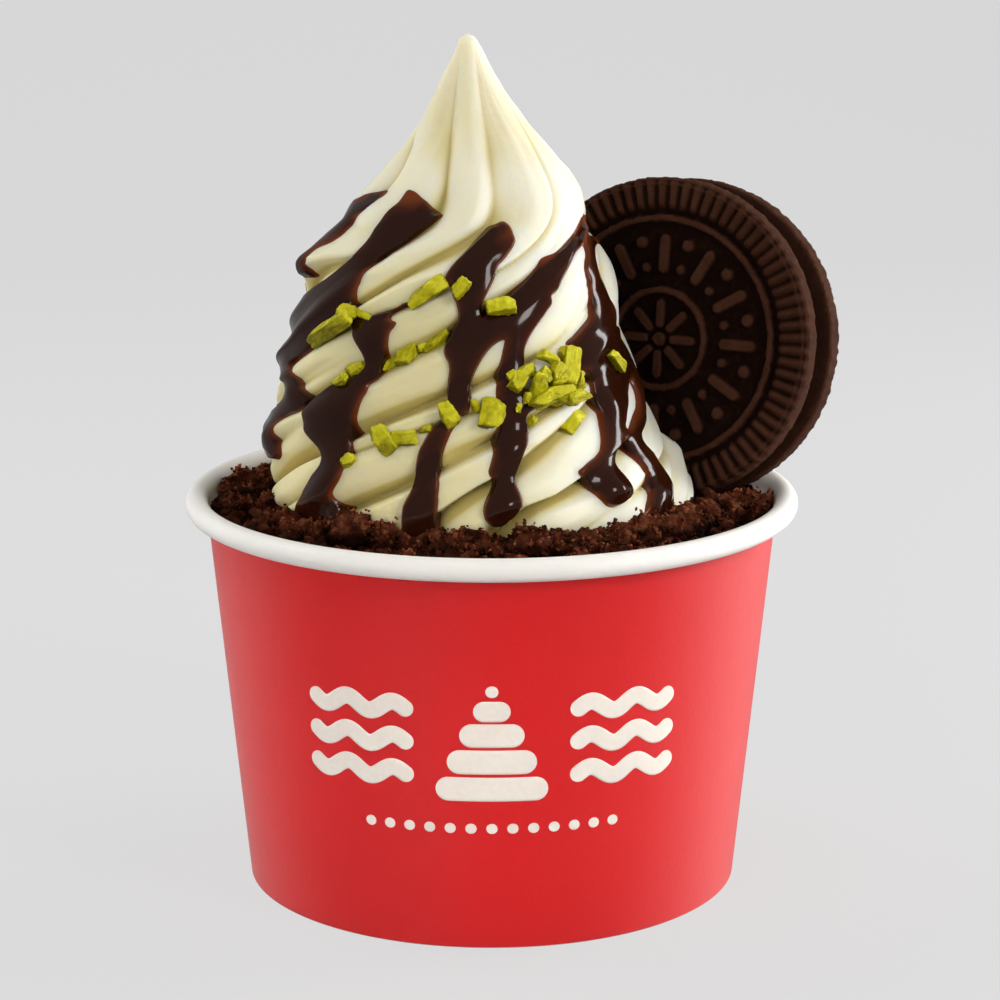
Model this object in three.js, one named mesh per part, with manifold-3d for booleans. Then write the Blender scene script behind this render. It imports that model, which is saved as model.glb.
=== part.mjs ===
// A paper cup of soft frozen yogurt, with chocolate crumbs round the foot of its swirl and a
// chocolate sandwich cookie pushed into the back of it.
// Lengths are in millimetres and +Z is up. Inside the dessert group the cup's axis is x = y = 0;
// the group is then moved so that the origin is the middle of the footprint, on the table.

import * as THREE from 'three';
import { mergeVertices } from 'three/addons/utils/BufferGeometryUtils.js';
import Module from 'manifold-3d';

const GAP = 0.3; // clearance between pieces that touch

// Paper cup
const CUP_HEIGHT = 62.3;
const RIM_RADIUS = 48;
const RIM_HALF_WIDTH = 2.1;
const RIM_HALF_HEIGHT = 1.75;
const WALL_TOP_RADIUS = 44.55; // outside of the wall, where it meets the rolled rim
const BASE_RADIUS = 38.7;
const PAPER = 0.6;
const BASE_RECESS = 6; // the bottom sits this far above the table
const FOOT_WIDTH = 1.6;
const CUP_SEGMENTS = 48;
const RIM_ARC_STEPS = 8;

// Swirl. Each station is a height, the x of the swirl's centre there and its radius over the ridges.
const SHOULDER_Z = 51; // top of the yogurt that fills the cup
const SWIRL_STATIONS = [
  [51, -1.2, 33.2],
  [60, -1.5, 33.1],
  [68, -3.0, 31.7],
  [78, -4.8, 28.4],
  [88, -4.9, 25.5],
  [97, -4.6, 22.8],
  [104, -4.2, 19.2],
  [110.5, -2.8, 15.7],
  [116.5, -2.3, 10.5],
  [122.8, -2.9, 6.1],
  [128.8, -3.3, 2.9],
  [132.8, -3.7, 0.4],
];
const TIP_Z = 132.8;
const LAST_RING_Z = 131.8;
const SWIRL_STEP = 3.3; // height between rings of the swirl
const TIP_STEP = 2.7; // height between rings above where the ridges straighten

// Ridges. Each groove is the angle that it runs down from at the top, in degrees, and its
// depth against the deepest ones.
const GROOVES = [
  [-170, 1],
  [-131, 1],
  [-96, 1],
  [-55, 1],
  [-22, 0.85],
  [-4, 0.45],
  [20, 0.9],
  [40, 0.85],
  [66, 1],
  [97, 1],
  [128, 1],
  [158, 1],
];
const GROOVE_DEPTH = 0.13; // of the swirl's radius
const RIDGE_CREST = 0.26; // where the crest lies between two grooves
const RIDGE_FULLNESS = 2.4; // how late the ridge falls away to the next groove
const RIDGE_STEPS = [0, 0.12, 0.26, 0.5, 0.72, 0.88];
const RIDGE_GAP = 0.6; // outward, which leaves GAP square to a ridge's flank
const TWIST_RATE = 4.15; // degrees for each millimetre of height
const TWIST_TOP = 23; // the ridges' turn, above where they straighten
const TWIST_END_Z = 105.5;
const TWIST_BLEND = 1.2;

// Crumbs
const CRUMB_FLOOR_Z = SHOULDER_Z + GAP;
const CRUMB_LOW_Z = 57.2; // along the cup's wall
const CRUMB_RISE = 4.4; // from there to the foot of the swirl
const CRUMB_LOW_RADIUS = 38.6;
const CRUMB_HIGH_RADIUS = 33.5;
const CRUMB_LUMPS_LOW = 0.25;
const CRUMB_LUMPS_HIGH = 1.1;
const CRUMB_RING_RADII = [41, 38.6, 36.6, 34.8, 32.8, 30.6, 28];
const CRUMB_COLUMNS = 54;

// Sandwich cookie
const COOKIE_CENTRE = [28.8, 11.7, 83.7];
const COOKIE_YAW = THREE.MathUtils.degToRad(27.6); // its face turns this far towards -x
const COOKIE_LEAN = THREE.MathUtils.degToRad(8);
const COOKIE_RADIUS = 25.4;
const WAFER_THICKNESS = 4.3;
const FILLING_THICKNESS = 3.2;
const FILLING_RADIUS = 23;
const WAFER_ROUND = 1.1;
const WAFER_PANEL_RADIUS = 20;
const WAFER_PANEL_DEPTH = 0.5;
const WAFER_RING_RADIUS = 18.2;
const WAFER_RING_WIDTH = 1.6;
const COOKIE_SEGMENTS = 40;

const wasm = await Module();
wasm.setup();

// Gives a closed geometry only its positions, with each point stored once.
function weld(geometry) {
  geometry.deleteAttribute('normal');
  geometry.deleteAttribute('uv');
  return mergeVertices(geometry, 1e-4);
}

function toManifold(geometry) {
  const vertProperties = new Float32Array(geometry.attributes.position.array);
  const triVerts = new Uint32Array(geometry.index.array);
  return new wasm.Manifold(new wasm.Mesh({ numProp: 3, vertProperties, triVerts }));
}

function fromManifold(solid) {
  const { vertProperties, triVerts } = solid.getMesh();
  const geometry = new THREE.BufferGeometry();
  geometry.setAttribute('position', new THREE.BufferAttribute(vertProperties, 3));
  geometry.setIndex(new THREE.BufferAttribute(triVerts, 1));
  return geometry;
}

// A cut can leave slivers beside the body: only the largest piece is kept.
function largestPiece(solid) {
  const pieces = solid.decompose();
  return pieces.reduce((best, piece) => (piece.volume() > best.volume() ? piece : best));
}

// Joins rings of equal length, anticlockwise from above, into one closed skin. The first ring
// closes on its middle and the last one on a given point.
function skin(rings, topPoint) {
  const count = rings[0].length;
  const bottomPoint = new THREE.Vector3();
  rings[0].forEach((point) => bottomPoint.addScaledVector(point, 1 / count));
  const points = [...rings.flat(), bottomPoint, topPoint];
  const bottom = points.length - 2;
  const top = points.length - 1;
  const last = (rings.length - 1) * count;
  const index = [];
  for (let i = 0; i < count; i += 1) {
    const next = (i + 1) % count;
    index.push(bottom, next, i);
    index.push(last + i, last + next, top);
    for (let ring = 0; ring < rings.length - 1; ring += 1) {
      const low = ring * count;
      const high = low + count;
      index.push(low + i, low + next, high + i);
      index.push(low + next, high + next, high + i);
    }
  }
  const geometry = new THREE.BufferGeometry().setFromPoints(points);
  geometry.setIndex(index);
  return geometry;
}

// Turns a closed outline of [radius, height] points about the vertical axis.
function turned(outline, segments) {
  const points = outline.map(([radius, height]) => new THREE.Vector2(radius, height));
  return new THREE.LatheGeometry(points, segments).rotateX(Math.PI / 2);
}

function wallOuterRadius(z) {
  const rimFoot = CUP_HEIGHT - 2 * RIM_HALF_HEIGHT;
  return THREE.MathUtils.mapLinear(z, 0, rimFoot, BASE_RADIUS, WALL_TOP_RADIUS);
}

function wallInnerRadius(z) {
  return wallOuterRadius(z) - PAPER;
}

// One paper shell: foot ring, cone wall, rolled rim and raised bottom.
function cupGeometry() {
  const rimCentre = RIM_RADIUS - RIM_HALF_WIDTH;
  const rimZ = CUP_HEIGHT - RIM_HALF_HEIGHT;
  const wallSide = -Math.acos((WALL_TOP_RADIUS - rimCentre) / RIM_HALF_WIDTH);
  const insideTurn = Math.PI + Math.PI / 12;
  const rim = [];
  for (let step = 0; step <= RIM_ARC_STEPS; step += 1) {
    const angle = THREE.MathUtils.lerp(wallSide, insideTurn, step / RIM_ARC_STEPS);
    const radius = rimCentre + RIM_HALF_WIDTH * Math.cos(angle);
    rim.push([radius, rimZ + RIM_HALF_HEIGHT * Math.sin(angle)]);
  }
  const floorZ = BASE_RECESS + PAPER;
  const underRimZ = rimZ - RIM_HALF_HEIGHT;
  return turned(
    [
      [0, BASE_RECESS],
      [BASE_RADIUS - FOOT_WIDTH, BASE_RECESS],
      [BASE_RADIUS - FOOT_WIDTH, 0],
      [BASE_RADIUS, 0],
      ...rim,
      [wallInnerRadius(underRimZ), underRimZ],
      [wallInnerRadius(floorZ), floorZ],
      [0, floorZ],
    ],
    CUP_SEGMENTS,
  );
}

const stationCurve = new THREE.CubicInterpolant(
  SWIRL_STATIONS.map(([z]) => z),
  SWIRL_STATIONS.flatMap(([, centreX, radius]) => [centreX, radius]),
  2,
);

// How far the ridges have turned at a height, in degrees: steady low down, and none in the tip.
function twistAt(z) {
  const below = Math.log1p(Math.exp((TWIST_END_Z - z) / TWIST_BLEND)) * TWIST_BLEND;
  return TWIST_TOP - TWIST_RATE * below;
}

// Ridge height from 0 in a groove to 1 on the crest. It climbs fast and falls away slowly.
function ridgeSection(part) {
  if (part < RIDGE_CREST) {
    return Math.sin((Math.PI / 2) * (part / RIDGE_CREST));
  }
  return 1 - ((part - RIDGE_CREST) / (1 - RIDGE_CREST)) ** RIDGE_FULLNESS;
}

// Columns that follow the ridges round the swirl, each with its angle at the top and its
// share of the groove depth.
function ridgeColumns() {
  return GROOVES.flatMap(([start, depth], groove) => {
    const [wrappedEnd, nextDepth] = GROOVES[(groove + 1) % GROOVES.length];
    const end = wrappedEnd < start ? wrappedEnd + 360 : wrappedEnd;
    return RIDGE_STEPS.map((part) => ({
      angle: THREE.MathUtils.lerp(start, end, part),
      cut: (1 - ridgeSection(part)) * THREE.MathUtils.lerp(depth, nextDepth, part),
    }));
  });
}

const COLUMNS = ridgeColumns();

function swirlRing(z, grow) {
  const [centreX, radius] = stationCurve.evaluate(z);
  const twist = twistAt(z);
  return COLUMNS.map(({ angle, cut }) => {
    const reach = radius * (1 - GROOVE_DEPTH * cut) + grow;
    const turn = THREE.MathUtils.degToRad(angle + twist);
    return new THREE.Vector3(centreX + reach * Math.cos(turn), reach * Math.sin(turn), z);
  });
}

function swirlRings(fromZ, grow) {
  const rings = [];
  for (let z = fromZ; z < TWIST_END_Z; z += SWIRL_STEP) {
    rings.push(swirlRing(z, grow));
  }
  for (let z = TWIST_END_Z; z < LAST_RING_Z; z += TIP_STEP) {
    rings.push(swirlRing(z, grow));
  }
  rings.push(swirlRing(LAST_RING_Z, grow));
  return rings;
}

function tipPoint() {
  const [centreX] = stationCurve.evaluate(TIP_Z);
  return new THREE.Vector3(centreX, 0, TIP_Z);
}

// Yogurt inside the paper, with the columns of the swirl so that the two share their points.
function fillingRing(z) {
  const twist = twistAt(SHOULDER_Z);
  return COLUMNS.map(({ angle }) => {
    const turn = THREE.MathUtils.degToRad(angle + twist);
    const reach = wallInnerRadius(z) - GAP;
    return new THREE.Vector3(reach * Math.cos(turn), reach * Math.sin(turn), z);
  });
}

function yogurtGeometry() {
  const bottomZ = BASE_RECESS + PAPER + GAP;
  const rings = [fillingRing(bottomZ), fillingRing(SHOULDER_Z), ...swirlRings(SHOULDER_Z, 0)];
  return skin(rings, tipPoint());
}

// Top of the crumbs: low and even at the wall, heaped and lumpy at the foot of the swirl.
function crumbHeight(angle, radius) {
  const near = 1 - THREE.MathUtils.smoothstep(radius, CRUMB_HIGH_RADIUS, CRUMB_LOW_RADIUS);
  const size = THREE.MathUtils.lerp(CRUMB_LUMPS_LOW, CRUMB_LUMPS_HIGH, near);
  const lumps = Math.sin(11 * angle + 0.9 * radius)
    + 0.7 * Math.sin(17 * angle - 1.3 * radius + 2)
    + 0.5 * Math.sin(5 * angle + 1);
  return CRUMB_LOW_Z + CRUMB_RISE * near + size * lumps;
}

function crumbRing(radius, z) {
  return Array.from({ length: CRUMB_COLUMNS }, (_, column) => {
    const angle = (column / CRUMB_COLUMNS) * 2 * Math.PI;
    const height = z ?? crumbHeight(angle, radius);
    return new THREE.Vector3(radius * Math.cos(angle), radius * Math.sin(angle), height);
  });
}

function crumbBlank() {
  const wallRadius = wallInnerRadius(CRUMB_FLOOR_Z) - GAP;
  const rings = [
    crumbRing(wallRadius, CRUMB_FLOOR_Z),
    crumbRing(wallRadius),
    ...CRUMB_RING_RADII.map((radius) => crumbRing(radius)),
  ];
  return skin(rings, new THREE.Vector3(0, 0, CRUMB_LOW_Z + CRUMB_RISE));
}

// Outline of a wafer from its inner face, at height 0, to its moulded face.
function waferGeometry() {
  const panelZ = WAFER_THICKNESS - WAFER_PANEL_DEPTH;
  const ringIn = WAFER_RING_RADIUS - WAFER_RING_WIDTH / 2;
  const ringOut = WAFER_RING_RADIUS + WAFER_RING_WIDTH / 2;
  return turned(
    [
      [0, 0],
      [COOKIE_RADIUS - WAFER_ROUND / 3, 0],
      [COOKIE_RADIUS, WAFER_ROUND / 3],
      [COOKIE_RADIUS, WAFER_THICKNESS - WAFER_ROUND],
      [COOKIE_RADIUS - WAFER_ROUND, WAFER_THICKNESS],
      [WAFER_PANEL_RADIUS + WAFER_PANEL_DEPTH, WAFER_THICKNESS],
      [WAFER_PANEL_RADIUS, panelZ],
      [ringOut, panelZ],
      [WAFER_RING_RADIUS, WAFER_THICKNESS],
      [ringIn, panelZ],
      [0, panelZ],
    ],
    COOKIE_SEGMENTS,
  );
}

function discGeometry(radius, thickness) {
  return new THREE.CylinderGeometry(radius, radius, thickness, COOKIE_SEGMENTS).rotateX(Math.PI / 2);
}

function makeMesh(name, geometry, colour, roughness) {
  const material = new THREE.MeshStandardMaterial({ color: colour, roughness, metalness: 0 });
  const mesh = new THREE.Mesh(geometry, material);
  mesh.name = name;
  return mesh;
}

// The cookie lies on its own z axis, with the front wafer's moulded face up, and its group
// stands it on edge, leaning back.
function makeCookie() {
  const halfInner = FILLING_THICKNESS / 2 + GAP;
  const front = makeMesh('cookie_wafer_front', waferGeometry(), 0x2a1712, 0.85);
  front.position.z = halfInner;
  const filling = makeMesh(
    'cookie_filling',
    discGeometry(FILLING_RADIUS, FILLING_THICKNESS),
    0x140b08,
    0.8,
  );
  const back = makeMesh('cookie_wafer_back', waferGeometry(), 0x2a1712, 0.85);
  back.rotation.x = Math.PI;
  back.position.z = -halfInner;
  const cookie = new THREE.Group();
  cookie.position.set(...COOKIE_CENTRE);
  cookie.rotation.set(Math.PI / 2 - COOKIE_LEAN, 0, -COOKIE_YAW, 'ZXY');
  cookie.add(front, filling, back);
  cookie.updateMatrix();
  return cookie;
}

const cookie = makeCookie();

// The room that the cookie takes up in what it is pushed into.
const cookieThickness = FILLING_THICKNESS + 2 * (GAP + WAFER_THICKNESS);
const cookieSlot = toManifold(
  weld(discGeometry(COOKIE_RADIUS + GAP, cookieThickness + 2 * GAP).applyMatrix4(cookie.matrix)),
);

const yogurt = largestPiece(toManifold(yogurtGeometry()).subtract(cookieSlot));
const swirlRoom = toManifold(skin(swirlRings(SHOULDER_Z - SWIRL_STEP, RIDGE_GAP), tipPoint()));
const crumbs = largestPiece(
  toManifold(crumbBlank()).subtract(swirlRoom).subtract(cookieSlot),
);

const frozenYogurtCup = new THREE.Group();
frozenYogurtCup.add(
  makeMesh('cup', cupGeometry(), 0xc4282c, 0.6),
  makeMesh('yogurt_swirl', fromManifold(yogurt), 0xf3ead2, 0.45),
  makeMesh('crumb_bed', fromManifold(crumbs), 0x2e1610, 0.95),
  cookie,
);

// The cookie overhangs the cup, so the footprint's middle is beside the cup's axis.
const bounds = new THREE.Box3().setFromObject(frozenYogurtCup, true);
const footprint = bounds.getCenter(new THREE.Vector3());
frozenYogurtCup.position.set(-footprint.x, -footprint.y, 0);

export default frozenYogurtCup;
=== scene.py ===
import math

import bmesh
import bpy
import numpy as np
from mathutils import Euler, Matrix, Vector


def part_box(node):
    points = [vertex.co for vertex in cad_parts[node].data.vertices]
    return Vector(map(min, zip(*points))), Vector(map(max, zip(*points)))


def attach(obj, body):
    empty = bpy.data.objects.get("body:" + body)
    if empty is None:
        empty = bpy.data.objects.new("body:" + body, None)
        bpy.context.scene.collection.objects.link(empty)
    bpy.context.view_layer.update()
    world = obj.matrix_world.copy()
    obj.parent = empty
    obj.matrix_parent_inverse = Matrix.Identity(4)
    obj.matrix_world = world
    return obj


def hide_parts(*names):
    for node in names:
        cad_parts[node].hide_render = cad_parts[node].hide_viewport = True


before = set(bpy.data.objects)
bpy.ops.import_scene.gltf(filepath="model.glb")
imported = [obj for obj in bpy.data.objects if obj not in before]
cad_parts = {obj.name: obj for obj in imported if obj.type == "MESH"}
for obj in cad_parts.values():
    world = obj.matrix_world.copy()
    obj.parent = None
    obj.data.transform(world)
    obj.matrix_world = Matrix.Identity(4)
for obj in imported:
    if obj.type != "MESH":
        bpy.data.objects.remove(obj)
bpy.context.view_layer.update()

# A paper cup of frozen yogurt with chocolate sauce, pistachio pieces, crumbs and a cookie.
# Lengths are millimetres from the cup's axis and the table, and angles are degrees anticlockwise
# from +x seen from above. make_mesh() turns points into metres about the cup's axis, and make_piece() sets
# each piece under the root body.

MM = 0.001
CUP_LOW, CUP_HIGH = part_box("cup")
AXIS_X = (CUP_LOW.x + CUP_HIGH.x) / 2
CUP_HEIGHT = CUP_HIGH.z / MM
RIM_RADIUS = (CUP_HIGH.y - CUP_LOW.y) / 2 / MM

# Camera, as the picture was taken
CAMERA_DISTANCE = 482.3
CAMERA_HEIGHT = 173.7
CAMERA_PITCH = math.radians(13.27)
FOCAL_PIXELS = 3148.1
PICTURE_SIZE = 1000
AXIS_PIXEL = 491.5
SENSOR_WIDTH = 36.0
EYE = np.array([0.0, -CAMERA_DISTANCE, CAMERA_HEIGHT])

# Studio: (name, place, target, size, power, colour, spread in degrees) of each soft box. A fill
# gives no highlights, and the low ones have grids that keep their light on the cup.
WORLD_STRENGTH = 0.27
LIGHTS = [
    ("key", (430, -400, 340), (0, 0, 80), (120, 200), 0.86, (1.0, 0.99, 0.97), 180),
    ("key_fill", (430, -400, 340), (0, 0, 80), (190, 290), 1.02, (1.0, 0.99, 0.97), 180),
    ("front_fill", (-390, -660, 210), (0, 0, 50), (340, 340), 1.66, (1.0, 0.99, 0.97), 180),
    ("top_fill", (-300, 170, 560), (20, 0, 60), (420, 360), 1.1, (1.0, 1.0, 1.0), 180),
    ("left_edge_fill", (-480, 200, 110), (0, 0, 30), (300, 460), 1.5, (1.0, 1.0, 1.0), 180),
    ("right_edge", (470, 120, 150), (0, 0, 40), (75, 210), 0.55, (1.0, 1.0, 1.0), 180),
    ("right_edge_fill", (480, 200, 110), (0, 0, 30), (460, 460), 4.4, (1.0, 1.0, 1.0), 180),
    ("low_left_fill", (-330, -640, 16), (0, 0, 26), (330, 50), 0.022, (1.0, 1.0, 1.0), 10),
    ("low_right_fill", (420, -560, 16), (0, 0, 26), (330, 50), 0.01, (1.0, 1.0, 1.0), 10),
]
SWEEP_FRONT = -2600.0
SWEEP_BACK = 1500.0
SWEEP_CURVE = 900.0
SWEEP_HEIGHT = 2600.0
SWEEP_SIDE = 2600.0
SWEEP_COLOUR = (76, 76, 76)
SWEEP_GLOW = 0.645

rng = np.random.default_rng(4705)


# ---------------------------------------------------------------- numbers and curves

def smoothstep(value, low, high):
    part = np.clip((value - low) / (high - low), 0.0, 1.0)
    return part * part * (3.0 - 2.0 * part)


def curve_through(at, knots, values):
    """Smooth curve through (knot, value) pairs, with each knot's slope from its neighbours."""
    knots = np.asarray(knots, float)
    values = np.asarray(values, float)
    slopes = np.gradient(values, knots)
    at = np.clip(at, knots[0], knots[-1])
    left = np.clip(np.searchsorted(knots, at, side="right") - 1, 0, len(knots) - 2)
    step = knots[left + 1] - knots[left]
    part = (at - knots[left]) / step
    rest = 1.0 - part
    return (
        values[left] * (1 + 2 * part) * rest**2
        + values[left + 1] * part**2 * (3 - 2 * part)
        + slopes[left] * step * part * rest**2
        - slopes[left + 1] * step * part**2 * rest
    )


def lattice_noise(points, seed=0):
    """Smooth noise from -1 to 1 at an (n, 3) array of points, with lumps one unit across."""
    cell = np.floor(points).astype(np.int64)
    part = points - cell
    part = part * part * part * (part * (part * 6 - 15) + 10)
    total = np.zeros(len(points))
    for corner in range(8):
        offset = np.array([corner & 1, (corner >> 1) & 1, (corner >> 2) & 1])
        key = (cell + offset) * np.array([73856093, 19349663, 83492791]) + seed * 2654435761
        mixed = key[:, 0] ^ key[:, 1] ^ key[:, 2]
        mixed = (mixed ^ (mixed >> 13)) * 1274126177
        mixed = (mixed ^ (mixed >> 16)) & 0xFFFF
        weight = np.prod(np.where(offset == 1, part, 1 - part), axis=1)
        total += weight * (mixed / 32767.5 - 1.0)
    return total


def layered_noise(points, octaves, seed=0):
    total = np.zeros(len(points))
    for octave in range(octaves):
        total += lattice_noise(points * 2.0**octave + 17.3 * octave, seed + octave) / 2.0**octave
    return total


def blur(field, sigma_rows, sigma_columns):
    """Gaussian blur of a grid that closes on itself along its columns."""
    for axis, sigma, mode in ((0, sigma_rows, "edge"), (1, sigma_columns, "wrap")):
        reach = int(math.ceil(3 * sigma))
        kernel = np.exp(-0.5 * (np.arange(-reach, reach + 1) / sigma) ** 2)
        kernel /= kernel.sum()
        pad = [(reach, reach) if axis == 0 else (0, 0), (reach, reach) if axis == 1 else (0, 0)]
        padded = np.pad(field, pad, mode=mode)
        length = field.shape[axis]
        field = sum(
            weight * np.take(padded, range(index, index + length), axis=axis)
            for index, weight in enumerate(kernel)
        )
    return field


# ---------------------------------------------------------------- meshes

def polar(radius, turn, z):
    """Points at a radius, a turn in radians and a height, each a number or an array."""
    return np.stack(np.broadcast_arrays(radius * np.cos(turn), radius * np.sin(turn), z), axis=-1)


def wrap_faces(rows, columns):
    """Quads of a grid of points whose columns close on themselves, row 0 lowest."""
    row = np.arange(rows - 1)[:, None] * columns
    column = np.arange(columns)[None, :]
    after = (column + 1) % columns
    quads = [row + column, row + after, row + columns + after, row + columns + column]
    return np.stack([q.ravel() for q in quads], axis=1)


def fan_faces(ring, tip, upward):
    after = np.roll(ring, -1)
    middle = np.full(len(ring), tip)
    return np.stack([ring, after, middle] if upward else [after, ring, middle], axis=1)


def capped_faces(rows, columns):
    """Faces of such a grid with both ends closed. The ends' middle points follow the grid's."""
    ring = np.arange(columns)
    return [
        wrap_faces(rows, columns),
        fan_faces(ring, rows * columns, upward=False),
        fan_faces(ring + (rows - 1) * columns, rows * columns + 1, upward=True),
    ]


def make_mesh(name, points, face_groups):
    """Mesh from points in millimetres and arrays of faces with 3 or 4 corners."""
    mesh = bpy.data.meshes.new(name)
    corners = np.concatenate([faces.ravel() for faces in face_groups])
    sizes = np.concatenate([np.full(len(faces), faces.shape[1]) for faces in face_groups])
    placed = np.asarray(points, float) * MM + np.array([AXIS_X, 0.0, 0.0])
    mesh.vertices.add(len(placed))
    mesh.vertices.foreach_set("co", placed.astype(np.float32).ravel())
    mesh.loops.add(len(corners))
    mesh.loops.foreach_set("vertex_index", corners.astype(np.int32))
    mesh.polygons.add(len(sizes))
    mesh.polygons.foreach_set("loop_start", (np.cumsum(sizes) - sizes).astype(np.int32))
    mesh.update(calc_edges=True)
    mesh.validate()
    mesh.shade_smooth()
    return mesh


def make_piece(name, mesh, materials, replaced=()):
    piece = bpy.data.objects.new(name, mesh)
    bpy.context.scene.collection.objects.link(piece)
    for material in materials:
        mesh.materials.append(material)
    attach(piece, "root")
    if replaced:
        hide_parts(*replaced)


def add_values(mesh, name, values):
    attribute = mesh.attributes.new(name, "FLOAT", "POINT")
    attribute.data.foreach_set("value", np.asarray(values, np.float32))


# ---------------------------------------------------------------- shader nodes

class Shader:
    """A material whose nodes are wired by short calls. A value may be a number or a socket."""

    def __init__(self, name, **fixed):
        self.material = bpy.data.materials.new(name)
        self.material.use_nodes = True
        self.tree = self.material.node_tree
        self.surface = self.tree.nodes["Principled BSDF"]
        for socket, value in fixed.items():
            self.surface.inputs[socket.replace("_", " ")].default_value = value

    def node(self, kind, **settings):
        made = self.tree.nodes.new(kind)
        for key, value in settings.items():
            setattr(made, key, value)
        return made

    def plug(self, target, value):
        if isinstance(value, bpy.types.NodeSocket):
            self.tree.links.new(value, target)
        elif value is not None:
            target.default_value = value

    def maths(self, operation, *values, clamp=False):
        made = self.node("ShaderNodeMath", operation=operation, use_clamp=clamp)
        for target, value in zip(made.inputs, values):
            self.plug(target, value)
        return made.outputs[0]

    def scaled(self, value, factor, base=0.0):
        product = self.maths("MULTIPLY", value, factor)
        return self.maths("ADD", product, base) if base else product

    def place(self):
        """Object coordinates in millimetres."""
        scale = self.node("ShaderNodeVectorMath", operation="SCALE")
        self.plug(scale.inputs[0], self.node("ShaderNodeTexCoord").outputs["Object"])
        scale.inputs["Scale"].default_value = 1 / MM
        return scale.outputs[0]

    def noise(self, size, detail=3.0, roughness=0.5):
        """Noise from 0 to 1 with lumps about size millimetres across."""
        made = self.node("ShaderNodeTexNoise")
        self.plug(made.inputs["Vector"], self.place())
        made.inputs["Scale"].default_value = 1 / size
        made.inputs["Detail"].default_value = detail
        made.inputs["Roughness"].default_value = roughness
        return made.outputs["Fac"]

    def ramp(self, value, *stops):
        """Colour by value, from stops of (position, colour)."""
        made = self.node("ShaderNodeValToRGB")
        self.plug(made.inputs["Fac"], value)
        elements = made.color_ramp.elements
        elements[0].position, elements[0].color = stops[0][0], (*stops[0][1], 1)
        elements[1].position, elements[1].color = stops[-1][0], (*stops[-1][1], 1)
        for position, colour in stops[1:-1]:
            elements.new(position).color = (*colour, 1)
        return made.outputs["Color"]

    def mix(self, amount, first, second):
        made = self.node("ShaderNodeMix", data_type="RGBA")
        self.plug(made.inputs["Factor"], amount)
        for target, value in ((made.inputs[6], first), (made.inputs[7], second)):
            self.plug(target, (*value, 1) if isinstance(value, tuple) else value)
        return made.outputs[2]

    def bump(self, height, depth, below=None):
        """Bump whose height runs from 0 to depth millimetres."""
        made = self.node("ShaderNodeBump")
        made.inputs["Strength"].default_value = 1.0
        made.inputs["Distance"].default_value = depth * MM
        self.plug(made.inputs["Height"], height)
        if below is not None:
            self.plug(made.inputs["Normal"], below)
        return made.outputs["Normal"]

    def colour(self, value):
        self.plug(self.surface.inputs["Base Color"], (*value, 1) if isinstance(value, tuple) else value)

    def normal(self, value):
        self.plug(self.surface.inputs["Normal"], value)

    def rough(self, value):
        self.plug(self.surface.inputs["Roughness"], value)

    def attribute(self, name):
        made = self.node("ShaderNodeAttribute", attribute_name=name)
        return made.outputs["Fac"]


def shade(red, green, blue):
    """Linear colour from 8-bit screen values."""
    def linear(channel):
        part = channel / 255
        return part / 12.92 if part <= 0.04045 else ((part + 0.055) / 1.055) ** 2.4
    return linear(red), linear(green), linear(blue)


# ---------------------------------------------------------------- camera, light and floor

def camera_direction():
    yaw = math.atan2(PICTURE_SIZE / 2 - AXIS_PIXEL, FOCAL_PIXELS)
    return Euler((math.pi / 2 - CAMERA_PITCH, 0.0, -yaw))


def make_camera():
    data = bpy.data.cameras.new("camera")
    data.sensor_width = SENSOR_WIDTH
    data.sensor_fit = "HORIZONTAL"
    data.lens = FOCAL_PIXELS * SENSOR_WIDTH / PICTURE_SIZE
    camera = bpy.data.objects.new("camera", data)
    camera.location = (AXIS_X, -CAMERA_DISTANCE * MM, CAMERA_HEIGHT * MM)
    camera.rotation_euler = camera_direction()
    bpy.context.scene.collection.objects.link(camera)
    bpy.context.scene.camera = camera


def to_picture(points):
    """Pixel across and down of points in millimetres, and their distance along the view."""
    turn = np.array(camera_direction().to_matrix())
    local = (points - EYE) @ turn
    depth = -local[..., 2]
    across = PICTURE_SIZE / 2 + FOCAL_PIXELS * local[..., 0] / depth
    down = PICTURE_SIZE / 2 - FOCAL_PIXELS * local[..., 1] / depth
    return across, down, depth


def pixel_ray(across, down):
    """Direction of the camera's ray through a pixel, one millimetre long along the view."""
    local = Vector((
        (across - PICTURE_SIZE / 2) / FOCAL_PIXELS,
        -(down - PICTURE_SIZE / 2) / FOCAL_PIXELS,
        -1.0,
    ))
    return np.array(camera_direction().to_matrix() @ local)


def make_light(name, place, target, size, power, colour, spread):
    """Rectangular soft box, placed and aimed in millimetres."""
    data = bpy.data.lights.new(name, "AREA")
    data.shape = "RECTANGLE"
    data.size, data.size_y = size[0] * MM, size[1] * MM
    data.energy = power
    data.color = colour
    data.spread = math.radians(spread)
    light = bpy.data.objects.new(name, data)
    light.location = Vector(place) * MM
    aim = (Vector(target) - Vector(place)).normalized()
    light.rotation_euler = aim.to_track_quat("-Z", "Y").to_euler()
    light.visible_glossy = not name.endswith("fill")
    bpy.context.scene.collection.objects.link(light)


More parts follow.
